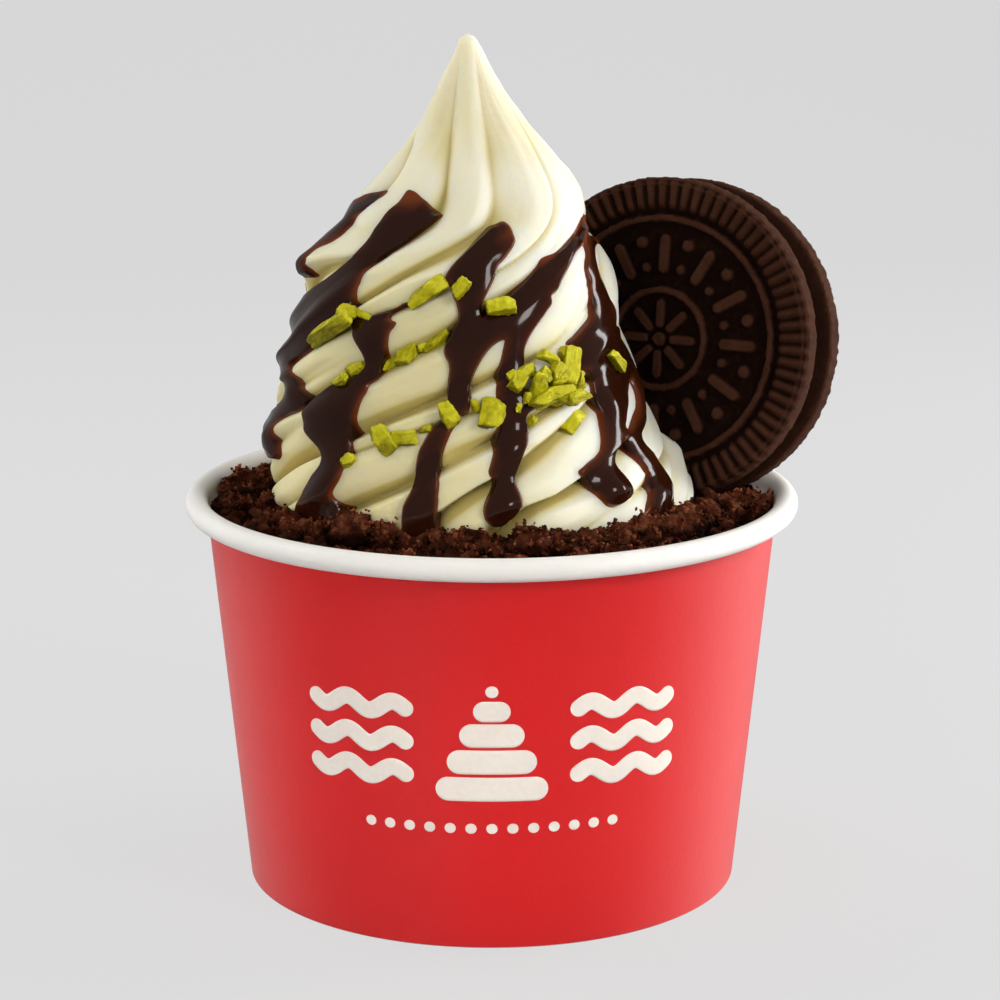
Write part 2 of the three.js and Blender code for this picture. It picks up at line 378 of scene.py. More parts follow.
def make_backdrop():
    """Pale paper that runs under the cup and curves up behind it."""
    outline = [(SWEEP_FRONT, 0.0), (SWEEP_BACK - SWEEP_CURVE, 0.0)]
    for angle in np.linspace(0, math.pi / 2, 25)[1:]:
        outline.append(
            (SWEEP_BACK - SWEEP_CURVE + SWEEP_CURVE * math.sin(angle), SWEEP_CURVE * (1 - math.cos(angle)))
        )
    outline.append((SWEEP_BACK, SWEEP_HEIGHT))
    points, faces = [], []
    for y, z in outline:
        points += [(-SWEEP_SIDE, y, z), (SWEEP_SIDE, y, z)]
    for row in range(len(outline) - 1):
        faces.append((2 * row, 2 * row + 1, 2 * row + 3, 2 * row + 2))
    mesh = make_mesh("backdrop", np.array(points), [np.array(faces)])
    paper = Shader("pale_paper", Roughness=0.95, Specular_IOR_Level=0.1)
    paper.colour(shade(*SWEEP_COLOUR))
    paper.surface.inputs["Emission Color"].default_value = (1.0, 1.0, 1.0, 1)
    paper.surface.inputs["Emission Strength"].default_value = SWEEP_GLOW
    mesh.materials.append(paper.material)
    backdrop = bpy.data.objects.new("backdrop", mesh)
    bpy.context.scene.collection.objects.link(backdrop)
    backdrop.visible_diffuse = False
    backdrop.visible_glossy = False


def make_studio():
    scene = bpy.context.scene
    scene.view_settings.view_transform = "Standard"
    world = bpy.data.worlds.new("studio")
    world.use_nodes = True
    background = world.node_tree.nodes["Background"]
    background.inputs["Color"].default_value = (1.0, 1.0, 1.0, 1)
    background.inputs["Strength"].default_value = WORLD_STRENGTH
    scene.world = world
    for light in LIGHTS:
        make_light(*light)
    make_backdrop()


# ---------------------------------------------------------------- paper cup

WALL_TOP_RADIUS = 44.55
BASE_RADIUS = 38.7
PAPER = 0.4
BASE_RECESS = 6.0
FOOT_WIDTH = 1.6
RIM_HALF_WIDTH = 1.78
RIM_HALF_HEIGHT = 1.75
CUP_COLUMNS = 512
SEAM_ANGLE = 96.0        # the overlap of the paper, behind
SEAM_WIDTH = 9.0         # degrees over which the overlap thins out
SEAM_STEP = 0.35
FLOOR_Z = BASE_RECESS + PAPER
RIM_ROLL_END = 195.0     # degrees from the rim's outside at which its roll ends
RIM_SEAM_ROWS = 20       # rows of the rim that the overlap lifts, by a share of its step
RIM_SEAM_SHARE = 0.4


def wall_radius(z):
    return BASE_RADIUS + (WALL_TOP_RADIUS - BASE_RADIUS) * z / (CUP_HEIGHT - 2 * RIM_HALF_HEIGHT)


def inner_wall(z, gap=0.0):
    """Radius a gap inside the cup's wall."""
    return wall_radius(z) - PAPER - gap


def keep_in_cup(points, gap):
    """Moves points in until they lie at least a gap inside the cup's wall."""
    reach = np.hypot(points[:, 0], points[:, 1])
    points[:, :2] *= np.minimum(1, inner_wall(points[:, 2], gap) / reach)[:, None]


def cup_outline():
    """(radius, height) round the paper, out along the bottom, up the wall, over the rim and
    down inside, with the rows at which the printed wall starts and ends."""
    rim_radius = RIM_RADIUS - RIM_HALF_WIDTH
    rim_z = CUP_HEIGHT - RIM_HALF_HEIGHT
    foot_in = BASE_RADIUS - FOOT_WIDTH
    outline = [(r, BASE_RECESS) for r in np.linspace(2.0, foot_in - 1.0, 12)]
    outline += [(foot_in - 0.25, BASE_RECESS - 0.05), (foot_in, BASE_RECESS - 0.4)]
    outline += [(foot_in, z) for z in (4.5, 3.0, 1.5, 0.4)]
    outline += [(foot_in + 0.2, 0.0), (BASE_RADIUS - 0.3, 0.0), (wall_radius(0.2), 0.2)]
    wall_start = len(outline) - 1
    outline += [(wall_radius(z), z) for z in np.linspace(0.5, rim_z - 1.7, 60)]
    wall_end = len(outline)
    start = -math.acos((WALL_TOP_RADIUS + 0.12 - rim_radius) / RIM_HALF_WIDTH)
    for angle in np.linspace(start, math.radians(RIM_ROLL_END), 26):
        outline.append(
            (rim_radius + RIM_HALF_WIDTH * math.cos(angle), rim_z + RIM_HALF_HEIGHT * math.sin(angle))
        )
    outline += [(inner_wall(z), z) for z in np.linspace(rim_z - RIM_HALF_HEIGHT, FLOOR_Z + 0.3, 20)]
    outline += [(r, FLOOR_Z) for r in np.linspace(inner_wall(FLOOR_Z, 0.4), 2.0, 8)]
    return np.array(outline), wall_start, wall_end


def seam_offset(angle):
    """The outer layer of paper ends in a step and the inner one thins out beside it."""
    past = (angle - SEAM_ANGLE) % 360
    thinned = smoothstep(past, 0.35 * SEAM_WIDTH, SEAM_WIDTH)
    return np.where(past < SEAM_WIDTH, SEAM_STEP * (1 - thinned), 0)


def red_paper_material():
    paper = Shader(
        "red_paper", Roughness=0.5, Specular_IOR_Level=0.5, Sheen_Weight=0.32, Sheen_Roughness=0.45
    )
    fibres = paper.noise(0.9, 4.0, 0.65)
    mottle = paper.noise(6.0, 3.0, 0.5)
    red = paper.mix(fibres, shade(200, 3, 7), shade(212, 6, 10))
    paper.colour(paper.mix(paper.scaled(mottle, 0.2), red, shade(218, 12, 16)))
    paper.rough(paper.scaled(mottle, 0.12, 0.44))
    paper.normal(paper.bump(fibres, 0.03, paper.bump(mottle, 0.04)))
    return paper.material


def white_paper_material():
    paper = Shader(
        "white_paper",
        Roughness=0.42,
        Specular_IOR_Level=0.5,
        Subsurface_Weight=0.5,
        Subsurface_Radius=(1.0, 0.95, 0.88),
        Subsurface_Scale=0.0016,
    )
    fibres = paper.noise(0.8, 4.0, 0.65)
    cloud = paper.noise(9.0, 2.0)
    white = paper.mix(fibres, shade(240, 238, 233), shade(240, 237, 231))
    paper.colour(paper.mix(paper.scaled(cloud, 0.3), white, shade(236, 232, 225)))
    paper.normal(paper.bump(fibres, 0.03))
    return paper.material


def make_cup():
    outline, wall_start, wall_end = cup_outline()
    rows = len(outline)
    row = np.arange(rows)[:, None]
    angle = np.arange(CUP_COLUMNS) / CUP_COLUMNS * 360
    layered = (row > wall_start) & (row < wall_end)
    rolled = (row >= wall_end) & (row < wall_end + RIM_SEAM_ROWS)
    seam = seam_offset(angle)
    radius = outline[:, :1] + np.where(layered, seam, np.where(rolled, RIM_SEAM_SHARE * seam, 0))
    points = polar(radius, np.radians(angle), outline[:, 1:]).reshape(-1, 3)
    points = np.vstack([points, [[0, 0, BASE_RECESS], [0, 0, FLOOR_Z]]])
    mesh = make_mesh("paper_cup", points, capped_faces(rows, CUP_COLUMNS))
    make_piece("paper_cup", mesh, [white_paper_material(), red_paper_material()], ["cup"])
    printed = np.zeros(len(mesh.polygons), np.int32)
    printed[wall_start * CUP_COLUMNS:(wall_end - 1) * CUP_COLUMNS] = 1
    mesh.polygons.foreach_set("material_index", printed)


# ---------------------------------------------------------------- print

# A stack of bars between two sets of waves, over a row of dots. Widths are half widths.
MOTIF_Z = 33.0
# (height over the motif's middle, half length between the round ends, width) of each bar
BAR_ROWS = [(-7.1, 6.4, 1.9), (-2.8, 4.7, 1.9), (1.4, 2.9, 1.85), (5.2, 1.1, 1.6), (8.3, 0.0, 0.9)]
WAVE_CENTRE = 20.5
WAVE_REACH = 7.5
WAVE_LENGTH = 7.5
WAVE_HEIGHT = 0.9
WAVE_PITCH = 5.2
WAVE_WIDTH = 1.35
DOT_Z = 19.6
DOT_PITCH = 3.1
DOT_SIDE = 6             # dots on either side of the middle one
DOT_WIDTH = 0.8
INK_LIFT = 0.05          # half the thickness of the ink


def on_wall(across, z, lift):
    """Point of the wall that lies across millimetres to the right of its front."""
    radius = wall_radius(z)
    turn = across / radius
    radius = radius + lift
    return polar(radius, turn - math.pi / 2, z)


def stroke(line, width, across_count=9, cap_count=12):
    """Points and faces of a closed thin body with round ends that follows a line on the wall."""
    line = np.asarray(line, float)
    along = np.gradient(line, axis=0)
    along /= np.linalg.norm(along, axis=1, keepdims=True)
    bend = np.linspace(0, np.pi / 2, cap_count + 1)[:-1]
    first = line[0] - along[0] * width * np.cos(bend)[:, None]
    last = line[-1] + along[-1] * width * np.cos(bend)[::-1, None]
    spine = np.vstack([first, line[1:-1], last])
    headings = [np.repeat(along[:1], cap_count, 0), along[1:-1], np.repeat(along[-1:], cap_count, 0)]
    heading = np.vstack(headings)
    half = np.concatenate([np.sin(bend), np.ones(len(line) - 2), np.sin(bend)[::-1]]) * width
    half = np.maximum(half, 0.02)
    side = np.stack([-heading[:, 1], heading[:, 0]], axis=1)
    share = np.linspace(-1, 1, across_count)
    grid = spine[:, None] + side[:, None] * half[:, None, None] * share[None, :, None]
    index = np.arange(grid.shape[0] * across_count).reshape(grid.shape[:2])
    corners = [index[:-1, 1:], index[1:, 1:], index[1:, :-1], index[:-1, :-1]]
    quads = np.stack(corners, axis=-1).reshape(-1, 4)
    flat = grid.reshape(-1, 2)
    top = on_wall(flat[:, 0], flat[:, 1], INK_LIFT)
    under = on_wall(flat[:, 0], flat[:, 1], -INK_LIFT)
    return close_sheet(quads, top, under)[:2]


def make_print():
    strokes = []
    for z, half, width in BAR_ROWS:
        ends = np.array([[-half - 0.05, MOTIF_Z + z], [half + 0.05, MOTIF_Z + z]])
        share = np.linspace(0, 1, 24)[:, None]
        strokes.append(stroke(ends[0] + (ends[1] - ends[0]) * share, width))
    for side in (-1, 1):
        for row in (-1, 0, 1):
            along = np.linspace(-WAVE_REACH, WAVE_REACH, 60)
            wave = WAVE_HEIGHT * np.sin(2 * np.pi * along / WAVE_LENGTH) * side
            line = np.stack([side * WAVE_CENTRE + along, MOTIF_Z + row * WAVE_PITCH + wave], axis=1)
            strokes.append(stroke(line, WAVE_WIDTH))
    for dot in range(-DOT_SIDE, DOT_SIDE + 1):
        across = dot * DOT_PITCH
        strokes.append(stroke([(across + step, DOT_Z) for step in (-0.03, 0, 0.03)], DOT_WIDTH))
    points, groups, count = [], [], 0
    for stroke_points, faces in strokes:
        points.append(stroke_points)
        groups += [group + count for group in faces]
        count += len(stroke_points)
    ink = Shader("white_ink", Roughness=0.5, Specular_IOR_Level=0.5)
    fibres = ink.noise(0.9, 4.0, 0.65)
    ink.colour(ink.mix(fibres, shade(226, 216, 203), shade(240, 232, 221)))
    ink.normal(ink.bump(fibres, 0.03))
    mesh = make_mesh("cup_print", np.vstack(points), groups)
    make_piece("cup_print", mesh, [ink.material])


# ---------------------------------------------------------------- frozen yogurt

YOGURT_GAP = 0.3         # between the filling and the cup
SHOULDER_Z = 51.0
TIP_Z = 132.8
TIP_ROUND_Z = 131.4      # over which the tip is rounded off
# Height, middle across and radius of the swirl at some stations. The middles and radii are picked,
# rounded and at the top adjusted from a table that a scratch program made of the picture's edges.
STATION_Z = [51, 60, 68, 78, 88, 97, 104, 110.5, 116.5, 122.8, 128.8, 132.8]
STATION_X = [-1.2, -1.5, -3.0, -4.8, -4.9, -4.6, -4.2, -2.8, -2.3, -2.9, -3.3, -3.7]
STATION_RADIUS = [33.2, 33.1, 31.7, 28.4, 25.5, 22.8, 19.2, 15.7, 10.3, 5.7, 2.75, 1.3]
TWIST_RATE = 4.15        # degrees that the ridges turn in a millimetre of height
TWIST_TOP = 23.0         # angle at which they stop turning
TWIST_END_Z = 105.5
TWIST_BLEND = 1.2        # millimetres over which they do
# Creases between the ridges, as the picture shows them: (pixel across, pixel down, depth against
# the deepest). Past its ends a crease keeps its place in the twist.
CREASES = [
    [(305, 275, 1), (309, 262, 1), (322, 247, 1), (340, 232, 1), (356, 217, 1), (370, 206, 1),
     (386, 194, 1), (399, 180, 1), (409, 163, 1), (417, 145, 1), (427, 117, 1), (439, 93, 1), (452, 66, 1)],
    [(310, 335, 1), (322, 312, 1), (340, 291, 1), (365, 271, 1), (391, 251, 1), (415, 235, 1),
     (435, 215, 1), (442, 197, 0.85), (445, 180, 0.75), (447, 160, 0.7), (450, 130, 0.65), (454, 100, 0.65),
     (459, 65, 0.65)],
    [(300, 358, 0.7), (312, 343, 0.75), (330, 328, 0.8), (350, 313, 0.9), (370, 299, 0.9), (385, 289, 0.9),
     (400, 279, 0.85), (420, 267, 0.8), (440, 256, 0.75), (460, 245, 0.7), (480, 233, 0.65),
     (490, 225, 0.6), (494, 208, 0.5), (494, 190, 0.45), (492, 170, 0.45), (489, 150, 0.45),
     (485, 128, 0.48), (481, 100, 0.5), (476, 65, 0.55)],
    [(284, 385, 0.8), (292, 368, 0.75), (308, 352, 0.7), (331, 338, 0.6), (354, 327, 0.55), (370, 321, 0.5),
     (388, 315, 0.5), (402, 309, 0.5), (420, 301, 0.5), (440, 292, 0.5), (455, 285, 0.45), (480, 279, 0.35),
     (498, 271, 0.3), (512, 261, 0.28), (527, 247, 0.24), (539, 231, 0.2), (546, 214, 0.16),
     (547, 200, 0.14), (544, 185, 0.13), (537, 166, 0.13), (529, 149, 0.13), (520, 131, 0.13),
     (510, 112, 0.13), (499, 92, 0.14)],
    [(271, 440, 1), (279, 428, 1), (291, 417, 1), (306, 407, 1), (321, 399, 1), (345, 388, 1),
     (365, 379, 1), (384, 369, 1), (397, 362, 1), (412, 355, 1), (428, 348, 1), (452, 335, 1),
     (470, 324, 1), (486, 314, 1), (505, 302, 1), (520, 291, 1), (531, 281, 0.95), (548, 264, 0.9),
     (562, 247, 0.85), (573, 230, 0.8), (580, 214, 0.75)],
    [(284, 488, 1), (290, 478, 1), (297, 469, 1), (306, 461, 1), (322, 455, 1), (340, 446, 1),
     (357, 437, 1), (376, 427, 1), (400, 417, 1), (420, 409, 1), (441, 399, 0.9), (475, 387, 0.75),
     (496, 377, 0.6), (521, 364, 0.4), (540, 352, 0.2), (553, 338, 0.1), (563, 321, 0.08), (572, 300, 0.08),
     (578, 280, 0.08), (583, 262, 0.1), (586, 246, 0.15)],
    [(312, 495, 0.35), (320, 480, 0.3), (332, 467, 0.28), (346, 458, 0.25), (362, 451, 0.25),
     (384, 444, 0.25), (405, 437, 0.25), (426, 428, 0.25), (447, 419, 0.3), (470, 411, 0.3),
     (495, 404, 0.35), (521, 395, 0.4), (546, 382, 0.45), (566, 363, 0.5), (580, 343, 0.5), (590, 321, 0.5),
     (595, 300, 0.5), (596, 280, 0.5)],
    [(345, 512, 1), (360, 505, 1), (380, 498, 1), (400, 490, 0.9), (411, 484, 0.8), (441, 470, 0.5),
     (460, 458, 0.6), (480, 447, 0.95), (500, 438, 0.9), (527, 426, 0.85), (545, 412, 0.8),
     (562, 399, 0.75), (577, 386, 0.7), (589, 370, 0.7), (598, 350, 0.7), (604, 328, 0.7)],
    [(400, 545, 1), (425, 525, 1), (440, 513, 1), (455, 502, 1), (470, 491, 1), (487, 478, 1),
     (503, 471, 0.95), (521, 464, 0.85), (531, 457, 0.8), (540, 449, 0.75), (549, 440, 0.7),
     (558, 431, 0.6), (570, 419, 0.5), (584, 405, 0.45), (595, 388, 0.5), (604, 368, 0.7), (611, 348, 0.9)],
    [(485, 545, 1), (505, 529, 1), (521, 516, 1), (540, 501, 1), (560, 487, 1), (580, 472, 1),
     (598, 457, 1), (611, 444, 1), (622, 430, 1), (630, 413, 1), (636, 396, 1)],
    [(560, 545, 0.5), (575, 530, 0.2), (590, 517, 0.12), (604, 505, 0.1), (620, 491, 0.12), (635, 477, 0.3),
     (650, 468, 0.7), (664, 455, 1), (664, 443, 1)],
    [(652, 532, 0.9), (668, 518, 0.9), (680, 505, 0.9)],
]
# Each crease's two sides, by height: (height, share of the ridge before it that falls to it,
# share of the ridge after it that rises from it)
CREASE_SIDES = [
    [(60, 0.6, 0.2), (100, 0.6, 0.12), (112, 0.6, 0.12)],
    [(60, 0.6, 0.3), (98, 0.5, 0.2), (106, 0.7, 0.45), (125, 0.75, 0.45)],
    [(60, 0.6, 0.3), (98, 0.7, 0.25), (106, 0.4, 0.88), (125, 0.35, 0.85)],
    [(60, 0.5, 0.3), (92, 0.5, 0.25), (99, 0.15, 0.12), (106, 0.1, 0.1), (125, 0.1, 0.1)],
    [(60, 0.6, 0.3), (85, 0.65, 0.28), (98, 0.5, 0.3), (125, 0.5, 0.4)],
    [(60, 0.6, 0.15), (70, 0.65, 0.25), (80, 0.6, 0.3), (84, 0.5, 0.12), (90, 0.5, 0.2)],
    [(60, 0.5, 0.3), (90, 0.4, 0.3)],
    [(60, 0.65, 0.3), (72, 0.6, 0.2), (78, 0.6, 0.2), (90, 0.5, 0.3)],
    [(60, 0.1, 0.6), (70.5, 0.1, 0.6), (74, 0.6, 0.22), (90, 0.5, 0.3)],
    [(60, 0.6, 0.2), (65, 0.5, 0.2), (67.5, 0.08, 0.5), (90, 0.1, 0.4)],
    [(60, 0.5, 0.35), (68, 0.5, 0.3), (72, 0.12, 0.5), (90, 0.3, 0.4)],
    [(60, 0.5, 0.5), (90, 0.5, 0.4)],
]
SIDE_CURVES = (1.9, 2.1)  # how full a ridge is before and after a crease
# The swirl's two edges in the picture, under the sauce: (pixel down, pixel across). A scratch
# program measured the rows down to 160 in the photo, and the rows below them were read by eye.
LEFT_EDGE = [
    (33, 463), (36, 461), (39, 459), (42, 458), (48, 456), (54, 454), (60, 450), (70, 445), (80, 440),
    (90, 436), (100, 431), (110, 426), (120, 421), (130, 414), (140, 407), (150, 399), (160, 390),
    (175, 377), (190, 363), (200, 355), (210, 351), (216, 350), (221, 348), (228, 339), (234, 331),
    (240, 323), (247, 315), (253, 308), (260, 303), (267, 299.5), (274, 300.5), (280, 306), (286, 312),
    (292, 312), (300, 308), (310, 302), (320, 298), (330, 299), (336, 299), (342, 291), (350, 283.5),
    (356, 280.5), (362, 280), (370, 283), (378, 285), (386, 280), (392, 276.5), (398, 276.5), (404, 279),
    (411, 279), (418, 272), (425, 268.5), (432, 267), (440, 267.5), (448, 271), (455, 275), (460, 273),
    (470, 270.5), (480, 270), (486, 271), (500, 274),
]
RIGHT_EDGE = [
    (33, 470), (36, 474), (39, 476), (42, 478), (48, 482), (54, 485), (60, 488), (70, 493), (80, 499),
    (90, 505), (100, 512), (110, 520), (120, 527), (130, 535), (140, 544), (150, 553), (160, 561),
    (170, 570), (180, 576), (190, 581), (200, 584), (212, 586), (224, 586), (236, 586), (242, 594),
    (250, 602), (260, 609), (270, 614), (280, 617), (290, 617.5), (300, 617), (310, 615), (319, 613),
    (327, 615), (336, 621), (346, 627), (356, 632), (366, 636), (378, 639), (388, 640), (397, 641),
    (403, 644), (411, 650), (421, 656), (431, 660), (441, 664), (450, 674), (460, 683), (470, 689),
    (480, 692), (490, 692), (500, 690),
]
EDGE_REACH = 34.0        # degrees over which the swirl is drawn to its edges
EDGE_LIMB = 40.0         # degrees from an edge within which the swirl's outline lies
EDGE_MOST = 3.0          # millimetres
EDGE_FOOT_Z = (57, 61)   # heights over which that sets in, and ends at the tip
EDGE_TIP_Z = (130.5, 132.5)
GROOVE_DEPTH = 0.15      # share of the radius
TIP_GROOVE = 0.06        # added to it towards the tip
NARROW_DROP = 0.55       # share of the grooves' depth that a ridge with no width stands lower
ROUNDNESS_Z = (98, 108)
RIDGE_ROUNDNESS = (0.8, 1.3)   # at those heights; under 1 for flanks that steepen towards the crease
NARROW_RIDGE = 20.0      # a ridge under this many degrees wide stands lower
CREASE_SMOOTHING = 1.2   # millimetres of height
CREASE_OVERLAP = 30.0    # degrees by which a crease's foot may lie behind the one before it
FLOW_ROUND = 9.0         # radius, in lumps, of the unevenness that follows the twist
FLOW_RISE = 14.0         # height of such a lump in millimetres
COOKIE_HOLD = 1.5        # how deep in the back wafer the swirl ends
COOKIE_PRESS = 6.0       # millimetres that the cookie draws it in at most
SWIRL_COLUMNS = 640
SWIRL_ROW_STEP = 0.26
SWIRL_RADIUS = 24.0      # of its lower half, for lengths round it
PAINTED_LIGHT_SIDE = (0.8, 0.0, 0.6)   # painted light: surfaces facing this way keep the light cream
# Share of painted shade, darker yellower cream, on the side facing away from that direction, less near the
# tip
PAINTED_SHADE_SHARE = 0.52
SEARCH_REACH = 60.0      # millimetres before and behind the axis that a pixel's ray is followed
SEARCH_STEP = 0.15


def twist_at(z):
    """Angle of the twist at a height: a steady turn that ends below the tip."""
    return TWIST_TOP - TWIST_RATE * TWIST_BLEND * np.logaddexp(0.0, (TWIST_END_Z - z) / TWIST_BLEND)


def swirl_centre(z):
    """Where the swirl's own axis is across at a height."""
    return curve_through(z, STATION_Z, STATION_X)


def swirl_envelope(z):
    radius = curve_through(z, STATION_Z, STATION_RADIUS)
    past = np.clip((z - TIP_ROUND_Z) / (TIP_Z - TIP_ROUND_Z), 0, 1)
    return radius * np.sqrt(1 - past**2)


def crease_tables(height):
    """Angle within the twist and depth of every crease, at each height."""
    angle = np.arange(360.0)
    mean = np.repeat((swirl_envelope(height) * (1 - 0.5 * GROOVE_DEPTH))[:, None], len(angle), axis=1)
    surface = SwirlSurface(angle, height, mean)
    smoothing = CREASE_SMOOTHING / (height[1] - height[0])
    tables = []
    before = -400.0
    for crease in CREASES:
        found = np.array([(*surface.seen_at(across, down)[:2], depth) for across, down, depth in crease])
        found = found[np.argsort(found[:, 1])]
        place = np.degrees(np.unwrap(np.radians(found[:, 0] - twist_at(found[:, 1]))))
        place += 360 * np.ceil((before - place[0]) / 360)
        before = place[0] - CREASE_OVERLAP
        for values in (place, found[:, 2]):
            column = np.interp(height, found[:, 1], values)[:, None]
            tables.append(blur(np.repeat(column, 8, axis=1), smoothing, 0.3)[:, 0])
    return np.array(tables[0::2]), np.array(tables[1::2])


def ridge_cut(angle, z, place, depth):
    """How deep the surface lies under the ridges' envelope, as a share of the groove depth."""
    before, after = [
        np.array([np.interp(z, *np.array(sides)[:, [0, column]].T) for sides in CREASE_SIDES])
        for column in (1, 2)
    ]
    offset = np.append(place - place[0], 360.0)
    depth, before = np.append(depth, depth[0]), np.append(before, before[0])
    local = (angle - twist_at(z) - place[0]) % 360
    ridge = np.searchsorted(offset, local, side="right") - 1
    ridge = np.clip(ridge, 0, len(place) - 1)
    width = offset[ridge + 1] - offset[ridge]
    part = (local - offset[ridge]) / width
    fall, rise = SIDE_CURVES
    risen = 1 - (1 - np.clip(part / after[ridge], 0, 1)) ** rise
    left = 1 - (1 - np.clip((1 - part) / before[ridge + 1], 0, 1)) ** fall
    roundness = np.interp(z, ROUNDNESS_Z, RIDGE_ROUNDNESS)
    rise_cut = (1 - risen**roundness) * depth[ridge]
    fall_cut = (1 - left**roundness) * depth[ridge + 1]
    lowered = NARROW_DROP * np.clip(1 - width / NARROW_RIDGE, 0, 1)
    return np.maximum(rise_cut, fall_cut) * (1 - lowered) + lowered


def drawn_to_edges(angle, height, radius):
    """The swirl, with its ridges let out or drawn in until its two edges are where the picture
    shows them."""
    for side, edge in ((180.0, LEFT_EDGE), (0.0, RIGHT_EDGE)):
        outward = math.cos(math.radians(side))
        downs, acrosses = np.array(edge, float).T
        _, down, depth = to_picture(polar(0.0, 0.0, height))
        wanted = (np.interp(down, downs, acrosses) - AXIS_PIXEL) * depth / FOCAL_PIXELS
        turn = (angle - side + 180) % 360 - 180
        reach = np.exp(-((turn / EDGE_REACH) ** 2))
        near = np.abs(turn) < EDGE_LIMB
        for _ in range(2):
            across = swirl_centre(height)[:, None] + radius[:, near] * np.cos(np.radians(angle[near]))
            now = (across * outward).max(axis=1) * outward
            lack = (wanted - now) * outward
            lack *= smoothstep(height, *EDGE_FOOT_Z) * (1 - smoothstep(height, *EDGE_TIP_Z))
            lack = np.clip(lack, -EDGE_MOST, EDGE_MOST)
            for row, z in enumerate(height):
                edge_z = z - turn / TWIST_RATE * (1 - smoothstep(z, 96, 106))
                radius[row] += np.interp(edge_z, height, lack) * reach
    return radius


def swirl_grid(columns, row_step, low=SHOULDER_Z):
    """Angles, heights and radii of the swirl's surface on a grid."""
    angle = np.arange(columns) / columns * 360
    rows = int(round((TIP_Z - 0.02 - low) / row_step)) + 1
    height = np.linspace(low, TIP_Z - 0.02, rows)
    places, depths = crease_tables(height)
    cut = np.array([
        ridge_cut(angle, z, place, depth) for z, place, depth in zip(height, places.T, depths.T)
    ])
    envelope = swirl_envelope(height)
    turn = np.radians(angle[None, :] - twist_at(height)[:, None])
    flow = polar(FLOW_ROUND, turn, height[:, None] / FLOW_RISE)[..., [0, 2, 1]].reshape(-1, 3)
    lines = layered_noise(flow, 2, seed=3).reshape(cut.shape)
    lumps = layered_noise(flow * np.array([0.35, 2.2, 0.35]), 2, seed=9).reshape(cut.shape)
    ease = np.clip(envelope / 14.0, 0, 1)[:, None]
    groove = GROOVE_DEPTH + TIP_GROOVE * smoothstep(height, 100, 112)
    groove *= smoothstep(TIP_Z - height, 0.5, 7)
    radius = envelope[:, None] * (1 - groove[:, None] * cut) + ease * (0.06 * lines + 0.16 * lumps)
    return angle, height, pressed_by_cookie(angle, height, drawn_to_edges(angle, height, radius))


def pressed_by_cookie(angle, height, radius):
    """The swirl, drawn in where it would come out through the back of the cookie."""
    points = swirl_points(angle, height, radius)
    local = in_cookie(points)
    depth = WAFER_INNER + WAFER_THICKNESS
    outward = polar(1.0, np.radians(angle), 0.0)
    slope = np.clip(-(outward @ cookie_turn()[:, 2]), 0.25, None)
    needed = np.clip(-depth + COOKIE_HOLD - local[..., 2], 0, None) / slope
    reach = np.hypot(local[..., 0], local[..., 1])
    beside = 1 - smoothstep(reach, COOKIE_RADIUS - 0.5, COOKIE_RADIUS + 3.5)
    close = 1 - smoothstep(needed, COOKIE_PRESS, 1.8 * COOKIE_PRESS)
    return radius - needed * beside * close


def round_swirl(angle, z, radius):
    """Points round the swirl's own axis, which isn't quite the cup's."""
    points = polar(radius, np.radians(angle), z)
    points[..., 0] += swirl_centre(z)
    return points


def swirl_points(angle, height, radius):
    return round_swirl(angle, height[:, None], radius)


def grid_normals(points):
    """Outward unit normals of a grid of points that closes on itself along its columns."""
    along = np.roll(points, -1, axis=1) - np.roll(points, 1, axis=1)
    upward = np.gradient(points, axis=0)
    normal = np.cross(along, upward)
    return normal / np.linalg.norm(normal, axis=-1, keepdims=True)


def yogurt_material():
    yogurt = Shader(
        "frozen_yogurt",
        Roughness=0.36,
        Specular_IOR_Level=0.45,
        Subsurface_Weight=0.7,
        Subsurface_Radius=(1.0, 0.78, 0.36),
        Subsurface_Scale=0.0035,
    )
    cloud = yogurt.noise(11.0, 2.0)
    grain = yogurt.noise(0.55, 3.0, 0.6)
    # The painted shade turns the cream from light to darker yellow, and a random cloud adds a little.
    cream = yogurt.maths("ADD", yogurt.attribute("painted_shade"), yogurt.scaled(cloud, 0.08), clamp=True)
    yogurt.colour(yogurt.ramp(
        cream,
        (0.04, shade(241, 237, 219)),
        (0.35, shade(235, 227, 192)),
        (0.7, shade(221, 208, 152)),
        (1.0, shade(199, 182, 112)),
    ))
    soft = yogurt.noise(2.6, 2.0)
    yogurt.rough(yogurt.scaled(grain, 0.22, 0.26))
    yogurt.normal(yogurt.bump(grain, 0.035, yogurt.bump(soft, 0.12)))
    return yogurt.material


